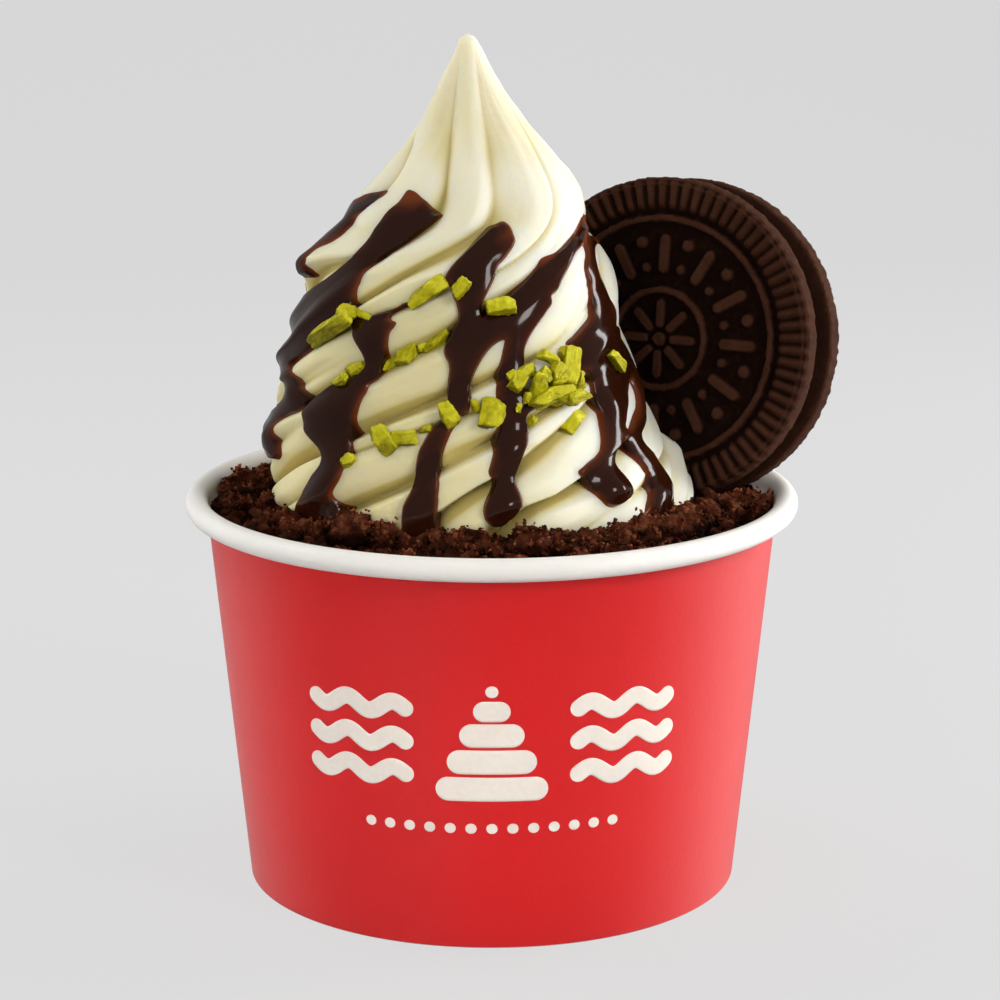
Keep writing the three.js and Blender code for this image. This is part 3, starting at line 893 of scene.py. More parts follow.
def make_yogurt():
    angle, height, radius = swirl_grid(SWIRL_COLUMNS, SWIRL_ROW_STEP)
    points = swirl_points(angle, height, radius)
    levels = (FLOOR_Z + YOGURT_GAP, 30.0, SHOULDER_Z - 0.4)
    filling = [polar(inner_wall(z, YOGURT_GAP), np.radians(angle), z) for z in levels]
    rows = np.concatenate([filling, points])
    count, columns = rows.shape[:2]
    flat = np.vstack([rows.reshape(-1, 3), [[0, 0, levels[0]], [swirl_centre(TIP_Z), 0, TIP_Z]]])
    mesh = make_mesh("yogurt", flat, capped_faces(count, columns))
    millimetre = np.array([1 / SWIRL_ROW_STEP, SWIRL_COLUMNS / (2 * math.pi * SWIRL_RADIUS)])
    # Painted shade: the cream turns darker and yellower in the creases, by how sunk the surface lies, and on
    # the side facing away from the light direction.
    sunk = 0.5 * blur(radius, *(1.6 * millimetre)) + 0.5 * blur(radius, *(4.0 * millimetre)) - radius
    painted_shade = smoothstep(sunk, -0.3, 0.9) * np.clip(swirl_envelope(height) / 8, 0, 1)[:, None]
    light_facing = grid_normals(points) @ np.array(PAINTED_LIGHT_SIDE)
    side_shade = PAINTED_SHADE_SHARE * (1 - 0.7 * smoothstep(height, 92, 106))[:, None]
    painted_shade = np.clip(0.85 * painted_shade + side_shade * (1 - smoothstep(light_facing, 0.0, 0.75)), 0, 1)
    add_values(mesh, "painted_shade", np.concatenate([np.zeros(len(levels) * columns), painted_shade.ravel(), [0, 0]]))
    make_piece("yogurt", mesh, [yogurt_material()], ["yogurt_swirl"])


# ---------------------------------------------------------------- finding places on the swirl

class SwirlSurface:
    """Looks up the swirl's surface and finds what the picture shows at a pixel."""

    def __init__(self, angle, height, radius):
        self.angle, self.height, self.radius = angle, height, radius
        self.step = 360 / len(angle)

    def radius_at(self, angle, z):
        column = (np.asarray(angle) % 360) / self.step
        row = (np.asarray(z) - self.height[0]) / (self.height[1] - self.height[0])
        row = np.clip(row, 0, len(self.height) - 1.001)
        left, low = np.floor(column).astype(int), np.floor(row).astype(int)
        part_c, part_r = column - left, row - low
        left, right = left % len(self.angle), (left + 1) % len(self.angle)
        bottom = self.radius[low, left] * (1 - part_c) + self.radius[low, right] * part_c
        upper = self.radius[low + 1, left] * (1 - part_c) + self.radius[low + 1, right] * part_c
        return bottom * (1 - part_r) + upper * part_r

    def point(self, angle, z):
        return round_swirl(angle, z, self.radius_at(angle, z))

    def normal(self, angle, z, reach=1.2):
        """Outward normal, measured over a few millimetres."""
        turn = math.degrees(reach / max(float(self.radius_at(angle, z)), 2.0))
        along = self.point(angle + turn, z) - self.point(angle - turn, z)
        upward = self.point(angle, z + reach) - self.point(angle, z - reach)
        normal = np.cross(along, upward)
        return normal / np.linalg.norm(normal)

    def seen_at(self, across, down):
        """(angle, height, depth) where the ray through a pixel first meets the swirl, or passes
        nearest to it."""
        steps = np.arange(CAMERA_DISTANCE - SEARCH_REACH, CAMERA_DISTANCE + SEARCH_REACH, SEARCH_STEP)
        path = EYE + steps[:, None] * pixel_ray(across, down)
        side = path[:, 0] - swirl_centre(path[:, 2])
        reach = np.hypot(side, path[:, 1])
        angle = np.degrees(np.arctan2(path[:, 1], side))
        gap = reach - self.radius_at(angle, path[:, 2])
        gap = np.where((path[:, 2] > self.height[0]) & (path[:, 2] < TIP_Z), gap, 1e3)
        inside = np.nonzero(gap < 0)[0]
        best = inside[0] if len(inside) else int(np.argmin(gap))
        return angle[best], path[best, 2], steps[best]


# ---------------------------------------------------------------- chocolate sauce

# Outline of each sheet of sauce: (pixel across, pixel down) round its edge
SAUCE_SHEETS = {
    "left_top": [
        (391, 190), (384, 190), (377, 192), (369, 194), (361, 198), (354, 203), (349, 209), (346, 215),
        (345, 220), (340, 223), (334, 228), (326, 234), (318, 240), (310, 247), (303, 253), (297, 260),
        (293, 267), (295, 275), (303, 279), (309, 277), (311, 270), (313, 261), (316, 254), (321, 248),
        (330, 243), (338, 238), (345, 231), (352, 223), (360, 215), (369, 208), (380, 200), (388, 194),
    ],
    "left": [
        (410, 189), (405, 195), (401, 201), (394, 207), (387, 214), (381, 222), (375, 230), (371, 237),
        (366, 244), (361, 250), (354, 257), (347, 263), (338, 271), (329, 279), (320, 286), (311, 293),
        (303, 300), (297, 308), (292, 319), (292, 328), (294, 335), (286, 342), (279, 349), (275, 356),
        (274, 362), (277, 369), (282, 376), (287, 383), (288, 390), (287, 397), (282, 404), (275, 411),
        (267, 418), (263, 425), (261, 433), (262, 441), (267, 449), (273, 456), (279, 459), (282, 455),
        (281, 448), (279, 440), (278, 432), (280, 425), (284, 420), (291, 415), (300, 411), (306, 406),
        (310, 401), (307, 393), (303, 386), (299, 379), (295, 371), (294, 364), (298, 360), (303, 357),
        (308, 353), (313, 347), (319, 341), (327, 335), (336, 329), (346, 325), (353, 327), (354, 333),
        (356, 340), (360, 347), (363, 353), (365, 359), (366, 365), (362, 371), (350, 379), (338, 382),
        (331, 386), (325, 391), (318, 397), (311, 404), (306, 410), (306, 417), (306, 424), (306, 430),
        (309, 436), (314, 442), (319, 448), (322, 453), (323, 458), (322, 464), (319, 469), (314, 475),
        (310, 482), (306, 489), (304, 496), (301, 503), (299, 512), (300, 524), (342, 524), (341, 512),
        (338, 504), (335, 498), (334, 492), (337, 485), (341, 478), (344, 471), (347, 463), (351, 455),
        (352, 448), (352, 440), (353, 431), (355, 421), (358, 412), (361, 404), (364, 397), (368, 391),
        (370, 384), (375, 381), (380, 376), (382, 369), (383, 363), (386, 358), (387, 351), (388, 343),
        (389, 337), (391, 331), (395, 326), (397, 322), (393, 321), (390, 318), (393, 314), (400, 310),
        (407, 307), (412, 303), (404, 304), (397, 308), (390, 311), (383, 313), (375, 315), (368, 318),
        (361, 319), (357, 315), (355, 310), (353, 304), (356, 297), (359, 290), (363, 280), (368, 272),
        (375, 264), (381, 258), (390, 252), (400, 246), (410, 239), (420, 231), (430, 225), (437, 220),
        (442, 216), (436, 214), (432, 210), (428, 204), (422, 197), (416, 191),
    ],
    "centre": [
        (504, 222), (497, 225), (490, 228), (484, 234), (477, 241), (469, 249), (461, 257), (453, 265),
        (448, 272), (445, 279), (443, 286), (450, 286), (453, 289), (453, 295), (456, 301), (458, 308),
        (459, 315), (458, 322), (454, 328), (451, 335), (446, 344), (444, 350), (446, 356), (449, 362),
        (450, 370), (449, 378), (448, 387), (447, 396), (448, 403), (453, 410), (459, 415), (465, 417),
        (468, 413), (469, 407), (471, 400), (470, 392), (471, 384), (473, 376), (477, 367), (482, 358),
        (487, 351), (493, 345), (499, 341), (505, 339), (504, 347), (502, 356), (500, 365), (497, 373),
        (497, 384), (496, 392), (497, 400), (500, 410), (500, 420), (498, 430), (495, 438), (494, 447),
        (493, 455), (491, 463), (489, 473), (493, 479), (495, 484), (492, 492), (487, 500), (484, 509),
        (485, 517), (490, 524), (496, 528), (503, 527), (510, 521), (516, 516), (520, 509), (521, 501),
        (519, 494), (516, 486), (515, 480), (518, 471), (521, 462), (524, 452), (526, 443), (527, 435),
        (528, 427), (526, 418), (530, 412), (536, 408), (534, 400), (526, 392), (523, 378), (524, 366),
        (524, 357), (524, 349), (527, 340), (531, 333), (537, 324), (542, 317), (547, 309), (551, 303),
        (550, 296), (556, 290), (560, 281), (565, 271), (570, 261), (575, 252), (581, 245), (586, 238),
        (588, 227), (588, 213), (581, 216), (577, 225), (573, 234), (568, 242), (563, 248), (555, 253),
        (546, 256), (540, 259), (536, 266), (530, 275), (523, 284), (515, 291), (507, 298), (498, 304),
        (490, 309), (483, 317), (481, 309), (483, 300), (487, 291), (491, 283), (495, 274), (497, 266),
        (504, 258), (510, 250), (514, 242), (513, 234), (510, 226),
    ],
    "low_left": [
        (447, 416), (441, 421), (434, 427), (428, 435), (424, 443), (420, 451), (418, 459), (416, 468),
        (415, 477), (413, 485), (411, 493), (407, 500), (404, 507), (403, 515), (403, 526), (404, 540),
        (438, 540), (437, 522), (436, 517), (437, 510), (438, 502), (438, 494), (439, 486), (439, 477),
        (440, 468), (441, 459), (443, 451), (446, 443), (449, 436), (452, 430), (456, 424), (455, 417),
    ],
    "right": [
        (582, 243), (584, 252), (584, 259), (583, 266), (584, 272), (586, 279), (587, 287), (588, 295),
        (589, 303), (589, 311), (588, 318), (584, 324), (579, 330), (573, 337), (566, 344), (570, 352),
        (571, 360), (574, 367), (579, 371), (584, 371), (587, 375), (589, 381), (590, 388), (591, 395),
        (592, 402), (594, 408), (597, 413), (598, 420), (599, 428), (600, 436), (600, 444), (599, 450),
        (594, 457), (588, 462), (581, 468), (577, 472), (581, 477), (585, 482), (589, 488), (594, 494),
        (600, 500), (606, 505), (612, 507), (618, 506), (624, 502), (629, 498), (631, 493), (629, 488),
        (625, 482), (621, 476), (617, 470), (614, 464), (614, 458), (615, 452), (618, 446), (621, 440),
        (625, 447), (629, 454), (634, 460), (639, 466), (643, 472), (646, 478), (648, 485), (648, 492),
        (646, 500), (644, 507), (643, 513), (641, 524), (673, 524), (672, 506), (671, 498), (670, 490),
        (668, 482), (665, 474), (661, 467), (655, 460), (650, 452), (645, 446), (641, 440), (640, 435),
        (642, 430), (644, 424), (645, 416), (643, 408), (642, 401), (641, 394), (640, 386), (637, 378),
        (634, 370), (630, 360), (626, 350), (621, 341), (617, 332), (614, 325), (612, 317), (611, 309),
        (608, 299), (605, 290), (601, 281), (598, 273), (595, 265), (594, 257), (594, 250), (597, 244),
        (594, 238), (586, 234),
    ],
}
# Yogurt that shows through a sheet
SAUCE_GAPS = {
    "right": [
        (628, 380), (631, 386), (634, 394), (635, 402), (634, 409), (631, 416), (629, 422), (625, 430),
        (623, 428), (624, 421), (625, 413), (626, 404), (626, 394), (627, 386),
    ],
}
# Where the sauce was poured and lies as a film: (pixel across, pixel down, reach in pixels, share
# of the thickness that is gone)
SAUCE_FILMS = [
    (384, 190, 15, 0.85), (363, 197, 13, 0.55), (411, 191, 20, 0.9), (433, 211, 12, 0.7),
    (505, 227, 17, 0.65), (586, 216, 17, 0.9), (578, 233, 12, 0.7), (548, 257, 15, 0.6),
    (399, 316, 12, 0.6), (465, 415, 7, 0.5), (590, 240, 9, 0.4), (643, 516, 8, 0.6), (449, 288, 7, 0.6),
    (455, 425, 14, 0.4), (631, 414, 9, 0.4),
]
# Where it has run together and stands thicker: (pixel across, pixel down, reach in pixels, millimetres)
SAUCE_DROPS = [
    (303, 264, 15, 1.3), (325, 298, 26, 0.5), (299, 322, 16, 0.7), (284, 358, 15, 0.9), (298, 392, 16, 0.6),
    (268, 432, 15, 1.0), (276, 450, 11, 1.2), (374, 345, 14, 0.4), (333, 410, 24, 0.5), (330, 478, 18, 0.3),
    (338, 482, 10, 0.35), (475, 262, 26, 0.3), (470, 326, 18, 0.3), (460, 398, 12, 0.5),
    (512, 448, 16, 0.4), (503, 508, 17, 1.1), (422, 512, 18, 0.6), (592, 336, 18, 0.5), (607, 404, 17, 0.7),
    (612, 489, 18, 1.2), (656, 492, 15, 0.8), (612, 360, 22, 0.3), (620, 505, 10, 0.4),
]
# Runs on the side away from the camera: (angle, height, half width in millimetres)
BACK_RUNS = [
    [(168, 111, 0.8), (158, 105, 1.7), (147, 98, 2.3), (139, 90, 2.0), (134, 82, 1.6), (132, 75, 2.2)],
    [(128, 113, 0.9), (118, 107, 2.0), (106, 100, 2.7), (98, 92, 2.3), (95, 84, 1.8), (94, 76, 1.9),
     (94, 69, 2.5)],
    [(84, 112, 0.8), (78, 106, 1.8), (70, 100, 2.2), (66, 94, 1.8)],
    [(160, 84, 0.7), (152, 77, 1.6), (146, 70, 1.8), (144, 62, 2.1), (144, 57, 2.2)],
    [(118, 83, 0.8), (111, 76, 1.6), (108, 69, 1.7), (107, 61, 2.0), (107, 57, 2.1)],
]
SAUCE_THICKNESS = 0.95
SAUCE_EDGE = 1.9         # millimetres over which it rises to that
SAUCE_EDGE_POWER = 2.3
SAUCE_BULB = 0.8         # extra at the end of a run at the back
SAUCE_BRIDGE = 3.4       # millimetres over which it evens out the ridges
SAUCE_DRAPE = 1.9        # and over which it then settles on them
SAUCE_SOFTNESS = 0.7     # millimetres over which its surface settles smooth
SAUCE_FALL = 0.6         # how fast its map falls outside the sauce, in millimetres to a millimetre
SAUCE_WRAP = -0.45       # how far round the swirl's edge it goes, as the cosine from the view
SAUCE_COLUMNS = 1152
SAUCE_ROW_STEP = 0.15
SAUCE_SKIN = 0.45        # how far the sauce's underside lies in the yogurt
SAUCE_MARGIN = 8         # pixels round a sheet in which its map is worked out
OUTLINE_STEP = 1.6       # pixels between the points of a smoothed outline
RUN_STEP = 0.4           # between the points of a smoothed run, in its own units
RUN_LENGTH = 0.3         # millimetres that such a step stands for near the run's end
SAUCE_RADIUS = 26.0      # of the swirl where the sauce is, for lengths round it


def lengths_along(line):
    """Length of a line from its start to each of its points, by their first two numbers."""
    return np.concatenate([[0], np.cumsum(np.hypot(*np.diff(line[:, :2], axis=0).T))])


def resampled(line, at, knots):
    """Smooth curve through a line's points, which lie at the knots."""
    return np.stack([curve_through(at, knots, column) for column in line.T], axis=1)


def outline_field(outline, across, down):
    """Distance from every pixel to a closed outline, above zero inside it."""
    outline = np.array(outline, float)
    length = lengths_along(np.vstack([outline, outline[:1]]))
    knots = np.concatenate([length - length[-1], length[1:], length[1:] + length[-1]])
    looped = np.vstack([outline, outline, outline, outline[:1]])
    line = resampled(looped, np.arange(0, length[-1], OUTLINE_STEP), knots)
    nearest = np.full(across.shape, 1e9)
    inside = np.zeros(across.shape, bool)
    for start, end in zip(line, np.roll(line, -1, axis=0)):
        run = end - start
        part = ((across - start[0]) * run[0] + (down - start[1]) * run[1]) / (run @ run + 1e-12)
        part = np.clip(part, 0, 1)
        away = (across - start[0] - part * run[0]) ** 2 + (down - start[1] - part * run[1]) ** 2
        np.minimum(nearest, away, out=nearest)
        crosses = (start[1] > down) != (end[1] > down)
        with np.errstate(divide="ignore", invalid="ignore"):
            meets = start[0] + (down - start[1]) * run[0] / run[1]
        inside ^= crosses & (across < meets)
    return np.where(inside, 1, -1) * np.sqrt(nearest)


def seen_sauce():
    """Thickness of the sauce over the picture, in millimetres, for every pixel."""
    pixel = CAMERA_DISTANCE / FOCAL_PIXELS
    down, across = np.mgrid[0:PICTURE_SIZE, 0:PICTURE_SIZE].astype(float)
    distance = np.full(across.shape, -20.0)
    for name, outline in SAUCE_SHEETS.items():
        low, high = np.min(outline, axis=0) - SAUCE_MARGIN, np.max(outline, axis=0) + SAUCE_MARGIN + 1
        part = np.s_[int(low[1]):int(high[1]), int(low[0]):int(high[0])]
        sheet = outline_field(outline, across[part], down[part])
        if name in SAUCE_GAPS:
            sheet = np.minimum(sheet, -outline_field(SAUCE_GAPS[name], across[part], down[part]))
        distance[part] = np.maximum(distance[part], sheet)
    distance *= pixel
    film, drops = np.zeros(across.shape), np.zeros(across.shape)
    for centre_x, centre_y, reach, gone in SAUCE_FILMS:
        away = ((across - centre_x) ** 2 + (down - centre_y) ** 2) / reach**2
        film = np.maximum(film, gone * np.exp(-(away**1.5)))
    for centre_x, centre_y, reach, extra in SAUCE_DROPS:
        away = ((across - centre_x) ** 2 + (down - centre_y) ** 2) / (0.8 * reach) ** 2
        drops += extra * np.exp(-away)
    edge = SAUCE_EDGE + 0.5 * drops
    rise = np.clip(distance / edge, 0, 1)
    full = (1 - (1 - rise) ** SAUCE_EDGE_POWER) ** (1 / SAUCE_EDGE_POWER)
    thickness = (SAUCE_THICKNESS * (1 - film) + drops) * full
    return np.where(distance > 0, thickness, SAUCE_FALL * distance)


def back_sauce(angle, height, points, surface):
    """Thickness of the runs on the side away from the camera, over the grid of points."""
    thickness = np.full(points.shape[:2], -1.0)
    row_step = height[1] - height[0]
    column_step = 360 / len(angle)
    for run in BACK_RUNS:
        run = np.array(run, float)
        length = lengths_along(run)
        rows = resampled(run, np.arange(0, length[-1] + RUN_STEP / 2, RUN_STEP), length)
        from_end = np.arange(len(rows))[::-1] * RUN_LENGTH
        for (turn, z, half), left in zip(rows, from_end):
            centre = surface.point(turn, z)
            deep = min(0.4 * half, SAUCE_THICKNESS) * (1 + SAUCE_BULB * math.exp(-((left / 2.5) ** 2)))
            reach = half * 1.5 + 0.8
            middle = int(round((z - height[0]) / row_step))
            span = int(reach / row_step) + 1
            low, high = max(middle - span, 0), min(middle + span + 1, len(height))
            swing = math.degrees(reach / max(float(surface.radius_at(turn, z)), 3.0))
            column = int(round((turn % 360) / column_step))
            side = int(swing / column_step) + 1
            columns = np.arange(column - side, column + side + 1) % len(angle)
            away = np.linalg.norm(points[low:high][:, columns] - centre, axis=-1) / half
            dome = deep * np.clip(1 - away**2.8, 0, 1) ** 0.5
            value = np.where(away < 1, dome, -SAUCE_FALL * (away - 1) * half)
            block = thickness[low:high]
            block[:, columns] = np.maximum(block[:, columns], value)
    return thickness


def sample(field, across, down):
    """Value of a field between its cells."""
    across = np.clip(across, 0, field.shape[1] - 1.001)
    down = np.clip(down, 0, field.shape[0] - 1.001)
    column, row = across.astype(int), down.astype(int)
    part_c, part_r = across - column, down - row
    upper = field[row, column] * (1 - part_c) + field[row, column + 1] * part_c
    lower = field[row + 1, column] * (1 - part_c) + field[row + 1, column + 1] * part_c
    return upper * (1 - part_r) + lower * part_r


def sauce_thickness(angle, height, base, surface):
    """Thickness of sauce over a grid, below zero outside it."""
    points = swirl_points(angle, height, base)
    across, down, _ = to_picture(points)
    seen = sample(seen_sauce(), across, down)
    toward = EYE - points
    toward /= np.linalg.norm(toward, axis=-1, keepdims=True)
    facing = np.sum(grid_normals(points) * toward, axis=-1)
    seen = np.where(facing > SAUCE_WRAP, seen, -1.0)
    wrap = smoothstep(facing, SAUCE_WRAP, SAUCE_WRAP + 0.25)
    seen = np.where(seen > 0, seen * wrap - 0.3 * (1 - wrap), seen)
    return np.maximum(seen, back_sauce(angle, height, points, surface))


def sauce_material():
    sauce = Shader("chocolate_sauce", Roughness=0.1, Specular_IOR_Level=0.28)
    sauce.colour(sauce.ramp(
        sauce.attribute("thickness"),
        (0.0, shade(118, 57, 24)),
        (0.08, shade(110, 51, 21)),
        (0.2, shade(100, 47, 20)),
        (0.36, shade(86, 38, 15)),
        (0.62, shade(62, 26, 10)),
        (1.0, shade(40, 15, 5)),
    ))
    return sauce.material


def make_sauce():
    """The sauce. Returns the surface of the swirl with the sauce on it."""
    angle, height, radius = swirl_grid(SAUCE_COLUMNS, SAUCE_ROW_STEP, low=SHOULDER_Z + 4)
    millimetre = np.array([1 / SAUCE_ROW_STEP, SAUCE_COLUMNS / (2 * math.pi * SAUCE_RADIUS)])
    even = blur(radius, *(SAUCE_BRIDGE * millimetre))
    bridged = blur(np.maximum(even, radius), *(SAUCE_DRAPE * millimetre))
    thickness = sauce_thickness(angle, height, bridged, SwirlSurface(angle, height, bridged))
    thickness = blur(thickness, *(SAUCE_ROW_STEP * millimetre))
    filled = np.maximum(bridged - radius, 0) * smoothstep(thickness, -0.05, 0.4)
    normal = grid_normals(swirl_points(angle, height, even))
    turn = np.radians(angle)
    slant = normal[..., 0] * np.cos(turn) + normal[..., 1] * np.sin(turn)
    lift = (radius + filled - even) * slant + thickness
    within = smoothstep(thickness, 0.0, 0.35) + 1e-6
    softness = SAUCE_SOFTNESS * millimetre
    smooth = blur(lift * within, *softness) / blur(within, *softness)
    settled = (smooth - lift) * smoothstep(thickness, 0.15, 0.6)
    top = swirl_points(angle, height, radius + filled) + normal * (thickness + settled)[..., None]
    under = swirl_points(angle, height, radius) - normal * SAUCE_SKIN
    quads = wrap_faces(*thickness.shape)
    values = thickness.ravel()
    kept = quads[(values[quads].max(axis=1) > -0.12) & (values[quads].min(axis=1) > -SAUCE_SKIN)]
    mesh_points, faces, source = close_sheet(kept, top.reshape(-1, 3), under.reshape(-1, 3))
    mesh = make_mesh("chocolate_sauce", mesh_points, faces)
    depth = thickness + filled * smoothstep(thickness, 0.0, 0.1)
    add_values(mesh, "thickness", np.clip(depth.ravel()[source], 0, None))
    make_piece("chocolate_sauce", mesh, [sauce_material()])
    return SwirlSurface(angle, height, radius + filled + np.clip(thickness + settled, 0, None))


def close_sheet(quads, top, under):
    """Closed body from the kept quads of a grid, with its top and bottom points."""
    used, flat = np.unique(quads, return_inverse=True)
    quads = flat.reshape(quads.shape)
    edges = np.concatenate([quads[:, [k, (k + 1) % 4]] for k in range(4)])
    count = len(used)
    key = edges[:, 0] * count + edges[:, 1]
    reverse = edges[:, 1] * count + edges[:, 0]
    rim = edges[~np.isin(key, reverse)]
    sides = np.stack([rim[:, 1], rim[:, 0], rim[:, 0] + count, rim[:, 1] + count], axis=1)
    points = np.vstack([top[used], under[used]])
    return points, [quads, quads[:, ::-1] + count, sides], np.concatenate([used, used])


# ---------------------------------------------------------------- pistachio pieces

# (pixel across, pixel down, length and width in pixels, turn in the picture in degrees)
NUTS = [
    (331, 327, 56, 17, 38), (348, 315, 22, 19, 10), (366, 316, 17, 8, -22), (428, 292, 46, 18, 34),
    (462, 289, 23, 14, 50), (501, 309, 31, 18, 8), (358, 371, 25, 16, 24), (342, 382, 16, 12, 30),
    (390, 364, 22, 13, 24), (411, 357, 26, 25, 70), (437, 344, 36, 16, 38), (423, 347, 14, 11, 0),
    (448, 415, 28, 17, -60), (427, 430, 12, 8, 10), (474, 405, 13, 9, -70), (493, 414, 32, 26, 80),
    (518, 408, 10, 6, 80), (531, 422, 15, 13, 60), (517, 381, 22, 15, 60), (533, 383, 31, 18, 82),
    (544, 361, 27, 13, -24), (566, 371, 50, 18, 86), (553, 379, 23, 20, 20), (545, 398, 46, 17, 16),
    (566, 389, 24, 12, 8), (578, 379, 20, 9, 75), (571, 422, 28, 16, 56), (614, 360, 26, 12, -48),
    (386, 441, 36, 20, -56), (407, 439, 24, 16, 4), (350, 460, 16, 15, 20), (525, 373, 18, 14, 20),
    (549, 370, 20, 15, 60), (560, 393, 22, 15, -30), (537, 394, 20, 15, 30), (573, 396, 18, 12, 10),
    (555, 404, 18, 10, -10), (529, 399, 14, 12, 0), (577, 387, 15, 12, 50), (541, 404, 15, 10, 15),
    (562, 355, 15, 12, 70), (540, 374, 16, 12, -40), (512, 376, 12, 11, 30),
]
# Pieces on the far side: (angle, height, length, width, turn)
BACK_NUTS = [
    (155, 92, 4.6, 2.8, 30), (122, 97, 5.4, 3.0, -20), (110, 88, 4.2, 3.4, 70), (138, 78, 5.0, 2.6, 15),
    (147, 101, 3.6, 2.4, 50), (126, 70, 4.4, 2.8, -40),
]
NUT_SINK = 0.2           # share of its height that a piece lies in what carries it
NUT_FACETS = 13          # chopped sides of a piece, besides six that keep it compact
NUT_SIZE = 0.98          # of a piece, against the sizes above
NUT_PAINTED_LIGHT_SIDE = (0.35, -0.35, 0.87)   # painted light: the facets that face this way are coloured lightest
# How far the pieces of the heap lie on others, by their place in NUTS
NUT_LIFTS = {20: 0.9, 21: 1.1, 22: 2.1, 23: 1.4, 24: 2.1, 19: 0.9, 32: 1.2, 33: 1.1, 41: 1.6}


def icosphere(subdivisions):
    ball = bmesh.new()
    bmesh.ops.create_icosphere(ball, subdivisions=subdivisions, radius=1.0)
    points = np.array([v.co for v in ball.verts])
    faces = np.array([[v.index for v in f.verts] for f in ball.faces])
    ball.free()
    return points / np.linalg.norm(points, axis=1, keepdims=True), faces


def chopped_form(directions, facets, sharpness):
    """Radius in each direction of a lump with flat chopped sides, and the side that lies there."""
    sides = rng.normal(size=(facets, 3))
    sides /= np.linalg.norm(sides, axis=1, keepdims=True)
    sides = np.vstack([sides, np.eye(3), -np.eye(3)])
    far = np.concatenate([rng.uniform(0.6, 0.95, facets), rng.uniform(0.62, 0.8, 6)])
    lean = np.clip(directions @ sides.T, 1e-3, None) / far
    return 1 / (np.sum(lean**sharpness, axis=1) ** (1 / sharpness)), sides[lean.argmax(axis=1)]


def nut_lump(directions, length, width, height):
    radius, sides = chopped_form(directions, NUT_FACETS, 60)
    points = directions * np.clip(radius, 0, 1.25)[:, None]
    points *= np.array([length, width, height]) / 2 / np.abs(points).max(axis=0)
    seed = int(rng.integers(1000))
    lumps = 1 - 2 * np.abs(layered_noise(points / np.array([1.5, 0.8, 0.8]) + 50, 2, seed))
    fine = layered_noise(points / 0.34 + 90, 2, seed + 7)
    return points + directions * (0.12 * lumps - 0.06 + 0.07 * fine)[:, None], sides


def nut_frames(surface):
    """(angle, height, direction of its length, length, width) of every piece, in millimetres."""
    flat_up = camera_direction().to_matrix()
    frames = []
    for across, down, length, width, turn in NUTS:
        angle, z, depth = surface.seen_at(across, down)
        scale = depth / FOCAL_PIXELS
        lean = math.radians(turn)
        along = np.array(flat_up @ Vector((math.cos(lean), math.sin(lean), 0.0)))
        frames.append((angle, z, along, length * scale, width * scale))
    for angle, z, length, width, turn in BACK_NUTS:
        side = math.radians(angle + 90)
        lean = math.radians(turn)
        along = np.array([math.cos(side) * math.cos(lean), math.sin(side) * math.cos(lean), math.sin(lean)])
        frames.append((angle, z, along, length, width))
    return frames


def nut_material():
    nut = Shader("pistachio", Roughness=0.5, Specular_IOR_Level=0.25)
    patch = nut.noise(1.5, 3.0, 0.6)
    fine = nut.noise(0.3, 3.0, 0.65)
    uneven = nut.scaled(nut.maths("SUBTRACT", patch, 0.5), 0.9)
    # Green from dark to light by each facet's painted light, with random patches.
    green = nut.ramp(
        nut.maths("ADD", nut.attribute("tone_and_painted_light"), uneven),
        (0.05, shade(84, 80, 2)),
        (0.4, shade(150, 143, 5)),
        (0.75, shade(204, 197, 27)),
        (1.0, shade(238, 231, 66)),
    )
    nut.colour(nut.mix(nut.scaled(fine, 0.3), green, shade(150, 134, 6)))
    nut.normal(nut.bump(fine, 0.08, nut.bump(patch, 0.1)))
    return nut.material


def make_nuts(surface):
    directions, faces = icosphere(4)
    all_points, all_faces, tones = [], [], []
    for index, (angle, z, along, length, width) in enumerate(nut_frames(surface)):
        length, width = NUT_SIZE * length, NUT_SIZE * width
        height = min(width, 0.7 * length) * rng.uniform(0.75, 0.95)
        outward = surface.normal(angle, z)
        if index < len(NUTS):
            view = surface.point(angle, z) - EYE
            view /= np.linalg.norm(view)
            along = along - view * np.clip((along @ outward) / min(view @ outward, -0.3), -0.9, 0.9)
        along = along - outward * (along @ outward)
        length *= np.linalg.norm(along)
        along /= np.linalg.norm(along)
        aside = np.cross(outward, along)
        tilt = rng.uniform(-0.25, 0.25)
        up = outward * math.cos(tilt) + aside * math.sin(tilt)
        aside = np.cross(up, along)
        centre = surface.point(angle, z) + outward * (height * (0.5 - NUT_SINK) + NUT_LIFTS.get(index, 0.0))
        lump, sides = nut_lump(directions, length, width, height)
        axes = np.stack([along, aside, up])
        # Painted light and shade: each facet's tone follows how far it faces the light direction.
        tones.append(0.42 + 0.45 * (sides @ axes @ np.array(NUT_PAINTED_LIGHT_SIDE)))
        all_faces.append(faces + index * len(directions))
        all_points.append(centre + lump @ axes)
    mesh = make_mesh("pistachio_pieces", np.vstack(all_points), [np.vstack(all_faces)])
    mesh.shade_flat()
    add_values(mesh, "tone_and_painted_light", np.clip(np.concatenate(tones), 0, 1))
    make_piece("pistachio_pieces", mesh, [nut_material()])


# ---------------------------------------------------------------- chocolate crumbs

CRUMB_LOW_Z = 58.7       # of the bed near the wall
CRUMB_RISE = 1.3         # of the bed towards the swirl
CRUMB_LOW_RADIUS = 41.0
CRUMB_HIGH_RADIUS = 34.0
CRUMB_FLOOR_Z = 51.3
CRUMB_EDGE_Z = 58.0      # where the bed meets the wall
CRUMB_GAP = 0.1          # between them
CRUMB_COLUMNS = 1200
CRUMB_ROWS = 80
CRUMB_INNER_RADIUS = 27.0
CRUMB_RING = (32.3, 43.2)   # radii between which loose crumbs lie
